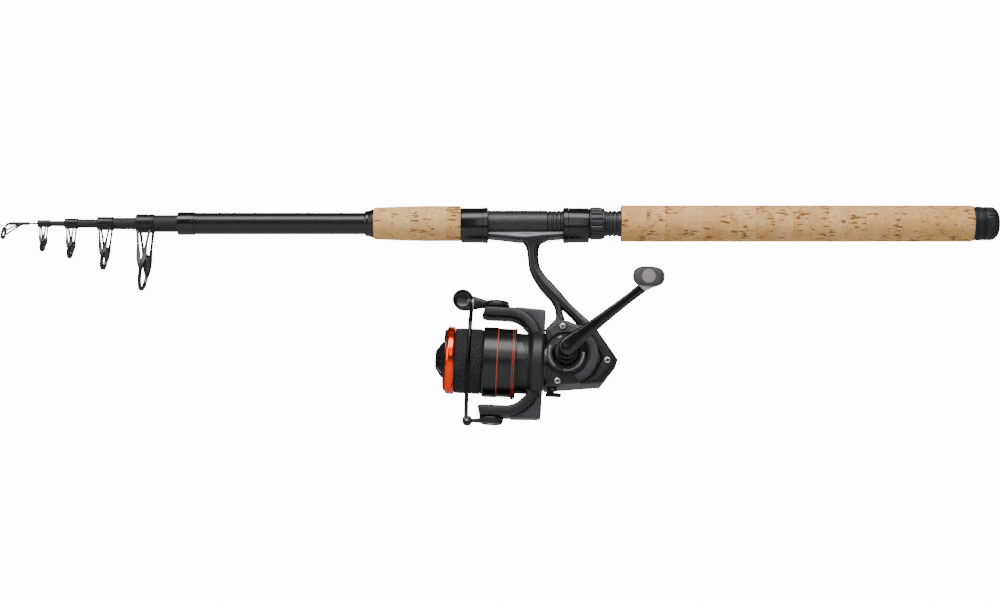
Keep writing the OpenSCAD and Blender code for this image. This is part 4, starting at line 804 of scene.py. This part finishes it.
for half in (0, 180):
    flip = reelTurned(half)
    addShape(shape, plate([(-38.5, 38.9, 1.2), (-15.1, 37.9, 2.6), (-15.1, 15.5, 1), (-20, 15.5, 1),
        (-23, 26, 8), (-31, 34, 4)], -6.6, 6.6, 0.9, 3), flip)
makePiece("rotorFins", shape, "rotor_unit", gunmetalPaint)

bail = {"hubR": 8.8, "hubTop": 43.0, "boreR": 1.56, "leverX": -65.5, "leverZ": -41.5, "rollerX": -73.0,
    "rollerZ": 41.7, "hoopX": -66.0, "hoopR": 40.55, "wireR": 1.45}
pivotPlace = reelAt(rotor["pivotX"], 0, 0) @ aboutZ
rollerPlace = reelAt(bail["rollerX"], 0, bail["rollerZ"]) @ aboutY
base, top, hubR, boreR = rotor["hubZ"], bail["hubTop"], bail["hubR"], bail["boreR"]
hubProfile = [(base, boreR), (base, hubR - 0.2, 0.4), (base + 1.6, hubR, 0.4), (base + 2, hubR - 0.5, 0.3),
    (top - 0.7, hubR - 0.7, 0.8), (top, hubR - 1.6, 0.5), (top, 3.06), (top - 1.5, 3.06), (top - 1.5, boreR)]
shape = placed(lathe(hubProfile, 64), pivotPlace)
rings = [ovalRing((x, y, z), (0, 1, 0), (0, 0, 1), half, tall, 2.6, 28) for x, y, z, half,
    tall in smoothed([(-51.5, 3.4, 41.0, 3.6, 1.5), (-53, 3.3, 41.1, 4.6, 1.8), (-57, 3.5, 41.5, 4.5, 2.6),
    (-62, 4.1, 41.9, 3.2, 3.9), (-67, 4.4, 42.0, 2.2, 5.2), (-72, 4.4, 41.8, 1.9, 5.7),
    (-76, 4.4, 41.7, 1.7, 4.8), (-78.6, 4.4, 41.7, 1.3, 2.4), (-79.2, 4.4, 41.7, 0.8, 1.0)], 4)]
addShape(shape, loft(rings), reelPlace)
addShape(shape, lathe([(2.8, 1.53), (2.8, 5.0, 0.4), (4.2, 5.5, 0.5), (5.9, 5.0, 0.8), (6.0, 3.2),
    (6.0, 1.53)], 48), rollerPlace)
makePiece("bailArm", shape, "bail", rotorPaint, ["bail_arm"])

lowPivot = reelTurned(180) @ Matrix.Translation((rotor["pivotX"], 0, 0)) @ aboutZ
shape = placed(lathe([(p[0], p[1] - 0.3 if p[1] > 4 else p[1], *p[2:]) for p in hubProfile], 64), lowPivot)
rings = [ovalRing((x, 0, z), (0, 1, 0), (0, 0, 1), half, tall, 3, 24) for x, z, half,
    tall in smoothed([(-52.5, -40.9, 4.2, 1.6), (-55, -40.9, 4.0, 1.8), (-58, -41.0, 3.0, 1.5),
    (-61, -41.2, 2.1, 1.3), (-63.5, -41.4, 2.0, 1.6)], 3)]
addShape(shape, loft(rings), reelPlace)
addShape(shape, lathe([(-3.1, 0), (-3.1, 2.9, 0.3), (-2.7, 3.4, 0.3), (2.7, 3.4, 0.3), (3.1, 2.9, 0.3),
    (3.1, 0)], 40), reelAt(bail["leverX"], 0, bail["leverZ"]) @ aboutY)
makePiece("bailLever", shape, "bail", rotorPaint, ["bail_lever"])


def hoopPoint(angle):
    t = radians(angle)
    return (bail["hoopX"], -6.65 - bail["hoopR"] * sin(t), -0.5 + bail["hoopR"] * cos(t))


hoop = [(-69.2, -5.6, 41.3), (-67.6, -7.6, 40.9), (-66.5, -10.2, 40.3)] + [hoopPoint(t) for t in range(14,
    176, 6)] + [(-65.8, -8.2, -41.1), (-65.6, -4.8, -41.4), (-65.5, -1.5, -41.5)]
shape = placed(roundWire(hoop, bail["wireR"], 16, 3), reelPlace)
makePiece("bailWire", shape, "bail", darkWire, ["bail_wire"])
shape = newShape()
addShape(shape, roundWire([(-69.3, -5.5, 41.3), (-67.6, -7.6, 40.9), (-66.7, -9.6, 40.4),
    (-66.3, -11.6, 39.9)], bail["wireR"] + 0.2, 16, 4), reelPlace)
addShape(shape, roundWire([hoopPoint(171), (-65.8, -8.2, -41.1), (-65.6, -4.8, -41.4), (-65.5, -2.8, -41.5)],
    bail["wireR"] + 0.3, 16, 4), reelPlace)
makePiece("wireEnds", shape, "bail", rollerChrome)
turned("bailCone", [(-4.4, 0), (-4.4, 5.2, 0.5), (-5.6, 6.4, 0.8), (-8.4, 7.1, 0.3), (-8.8, 6.7, 0.25),
    (-6.6, 4.9, 2), (-5.5, 0)], "bail", spoolPaint, place=rollerPlace, steps=56)
turned("lineRoller", [(-4.1, 1.55), (-4.1, 4.6, 0.2), (-3.2, 4.4, 0.4), (-2.0, 3.5, 0.8), (0.4, 3.4, 0.8),
    (1.6, 4.4, 0.4), (2.5, 4.6, 0.2), (2.5, 1.55)], "roller", rollerChrome, ["line_roller"],
    rollerPlace, 56)
shape = placed(lathe([(-4.6, 0), (-4.6, 1.5), (6.05, 1.5), (6.05, 0)], 24), rollerPlace)
addShape(shape, screwHead(2.7, 0.95, 0.3), rollerPlace @ Matrix.Translation((6.03, 0, 0)))
makePiece("rollerScrew", shape, "bail", screwSteel, ["roller_screw"])
shape = newShape()
for place in (pivotPlace, lowPivot):
    addShape(shape, screwHead(2.98, 1.3, 6.2), place @ Matrix.Translation((41.8, 0, 0)))
makePiece("bailScrews", shape, "rotor_unit", screwSteel, ["bail_screws"])
print("rotor and bail made")

# spool, line and drag knob
spool = {"skirtR": 24.2, "skirtWall": 1.6, "skirtX": -57.1, "skirtEnd": -33.8, "lineX": -76.2,
    "arborR": 15.5, "lipR": 23.5, "clipX": -36.0, "clipR": 1.85, "bands": [(-46.85, 0.28, 0.04),
    (-36.6, 0.16, -0.27), (-35.5, 0.16, -0.27)]}
skirtR, skirtX, end, lineX, arborR = (spool[key] for key in ("skirtR", "skirtX", "skirtEnd", "lineX",
    "arborR"))
inside = skirtR - spool["skirtWall"]
turned("spool", [(-70, 1.9), (-67, 1.9), (-67, 14), (-54.7, 14), (-54.7, inside, 0.8), (end, inside),
    (end, skirtR + 0.05, 0.3), (-34.7, skirtR + 0.05, 0.2), (-35.0, skirtR - 0.35, 0.2),
    (-37.0, skirtR - 0.35, 0.2), (-37.2, skirtR - 0.5, 0.1), (-46.4, skirtR - 0.5, 0.2),
    (-46.7, skirtR, 0.2), (skirtX + 0.9, skirtR, 0.5), (skirtX, skirtR - 0.9, 0.3), (skirtX, arborR),
    (lineX, arborR), (lineX, 21.3), (-82.9, 21.3, 0.3), (-83.9, 20.2, 0.5), (-84.0, 15.4, 0.5),
    (-82.4, 13, 0.4), (-70, 13)], "spool_unit", spoolPaint, ["spool"], reelPlace, 96)
lipR = spool["lipR"]
turned("spoolLip", [(-82.0, 21.35), (-82.05, lipR - 0.9, 0.3), (-80.6, lipR - 0.05, 0.9), (-77.6, lipR, 0.8),
    (lineX, lipR - 0.8, 0.4), (lineX, 21.35)], "spool_unit", orangeLip, ["spool_lip"],
    reelPlace, 96)
turned("spoolLine", [(lineX + 0.05, arborR + 0.05), (lineX + 0.05, 21.8, 0.3), (-75.2, 22.35, 0.4),
    (-72, 22.55, 2), (-67, 22.4, 2), (-63, 22.55, 2), (-59, 22.5, 1), (-57.9, 22.2, 0.3),
    (skirtX - 0.05, 21.7, 0.2), (skirtX - 0.05, arborR + 0.05)], "spool_unit", lineBraid,
    ["spool_line"], reelPlace, 96)
shape = newShape()
for x, half, stand in spool["bands"]:
    band = [(x - half, skirtR + stand - 0.4), (x - half, skirtR + stand), (x + half, skirtR + stand),
        (x + half, skirtR + stand - 0.4)]
    addShape(shape, lathe(band, 96), reelPlace)
makePiece("spoolBands", shape, "spool_unit", orangePaint)
shape = placed(lathe([(-skirtR + 1, 0), (-skirtR + 1, 0.85), (-skirtR - 0.3, 0.85),
    (-skirtR - 0.35, spool["clipR"], 0.2), (-skirtR - 0.9, spool["clipR"] - 0.15, 0.3), (-skirtR - 1.05, 0)],
    28), reelAt(spool["clipX"], 0, 0) @ aboutZ)
makePiece("lineClip", shape, "spool_unit", mattNylon, ["line_clip"])

drag = {"ribs": 12, "noseX": -89.8, "backX": -75.8, "faceR": 12.4, "bladeR": 13.4, "bladeHalf": 0.6}
nose, back, faceR, bladeHalf = drag["noseX"], drag["backX"], drag["faceR"], drag["bladeHalf"]
shape = placed(lathe([(back, 0), (back, 8), (-80.6, 8), (-81, faceR), (-84.3, faceR, 0.4),
    (nose + 0.5, 5.2, 0.4), (nose, 4.5, 0.3), (nose + 0.3, 3.4, 0.2), (nose + 0.3, 0)], 72), reelPlace)
blades = newShape()
for i in range(drag["ribs"]):
    blade = plate([(-84.6, 6), (-84.6, drag["bladeR"], 0.5), (nose - 0.1, 5.9, 0.8), (nose + 0.4, 4.2, 0.3),
        (nose + 1.8, 3)], -bladeHalf, bladeHalf, 0.25, 2)
    addShape(blades, blade, reelTurned(360 * i / drag["ribs"]))
makePiece("dragKnob", shape, "drag", mattNylon, ["drag_knob"])
makePiece("dragBlades", blades, "drag", sleeveLacquer)

# the inner works keep their own shapes and take a finish
inner = {"drive_gear": zinc, "pinion": brass, "main_shaft": steel, "rotor_nut": steel,
    "drive_bearings": steel, "pinion_bearing": steel, "one_way_clutch": steel, "knob_axle": steel,
    "oscillation_slider": acetal, "oscillation_gear": acetal, "drag_washers": steel, "bail_spring": steel}
for node, finish in inner.items():
    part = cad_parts[node]
    part.data.materials.clear()
    part.data.materials.append(finish)
print("spool and inner works made")

# light, floor and camera
view = {"lookAt": (-0.3308, 0.0, -0.0552), "distance": 1.341, "elevation": -12.0, "lens": 69.4,
    "floorZ": -0.46, "floorHalf": 40.0, "floorGlow": 2.0, "fill": 0.07, "backdrop": 14.0}
world = bpy.data.worlds.new("studio")
scene.world = world
world.use_nodes = True
sky = world.node_tree
backdrop = sky.nodes["Background"]
backdrop.inputs["Color"].default_value = (1, 1, 1, 1)
seen = addNode(sky, "LightPath")
glow = addNode(sky, "MapRange", {"To Min": view["fill"], "To Max": view["backdrop"]},
    {"Value": (seen, "Is Camera Ray")})
sky.links.new(glow.outputs["Result"], backdrop.inputs["Strength"])

floorShape = newShape()
bmesh.ops.create_grid(floorShape, x_segments=1, y_segments=1, size=view["floorHalf"],
    matrix=Matrix.Translation((0, 0, view["floorZ"])))
floorMesh = bpy.data.meshes.new("floor")
floorShape.to_mesh(floorMesh)
floorShape.free()
floor = bpy.data.objects.new("floor", floorMesh)
scene.collection.objects.link(floor)
floorPaint, _, floorShader = newMaterial("paleFloor", "#dcdcdc", 0.8)
floorMesh.materials.append(floorPaint)
floorSeen = addNode(floorPaint.node_tree, "LightPath")
floorGlow = addNode(floorPaint.node_tree, "Math", {"operation": "MULTIPLY", 1: view["floorGlow"]},
    {0: (floorSeen, "Is Camera Ray")})
floorShader.inputs["Emission Color"].default_value = (1, 1, 1, 1)
floorPaint.node_tree.links.new(floorGlow.outputs[0], floorShader.inputs["Emission Strength"])

# soft boxes: place, aim, size in metres, watts
lights = {"keyLight": ((-0.35, -1.0, 1.1), (-0.33, 0, -0.05), (1.9, 0.85), 44),
    "leftLight": ((-1.6, -0.9, 0.3), (-0.33, 0, -0.05), (0.6, 1.0), 9),
    "frontLight": ((-0.1, -1.5, 0.32), (-0.3, 0, -0.05), (0.9, 0.5), 3),
    "backLight": ((0.2, 1.2, 0.9), (-0.33, 0, -0.05), (1.4, 0.5), 8)}
for name, (place, aim, size, power) in lights.items():
    lamp = bpy.data.lights.new(name, "AREA")
    lamp.shape, lamp.size, lamp.size_y, lamp.energy = "RECTANGLE", size[0], size[1], power
    holder = bpy.data.objects.new(name, lamp)
    holder.location = place
    holder.rotation_euler = (Vector(aim) - Vector(place)).to_track_quat("-Z", "Y").to_euler()
    scene.collection.objects.link(holder)

camera = bpy.data.objects.new("camera", bpy.data.cameras.new("camera"))
camera.data.lens, camera.data.sensor_width = view["lens"], 36.0
camera.data.clip_start, camera.data.clip_end = 0.05, 20
tilt = radians(view["elevation"])
aim = Vector(view["lookAt"])
camera.location = aim + Vector((0, -cos(tilt), sin(tilt))) * view["distance"]
camera.rotation_euler = (aim - camera.location).to_track_quat("-Z", "Y").to_euler()
scene.collection.objects.link(camera)
scene.camera = camera
print("studio made")
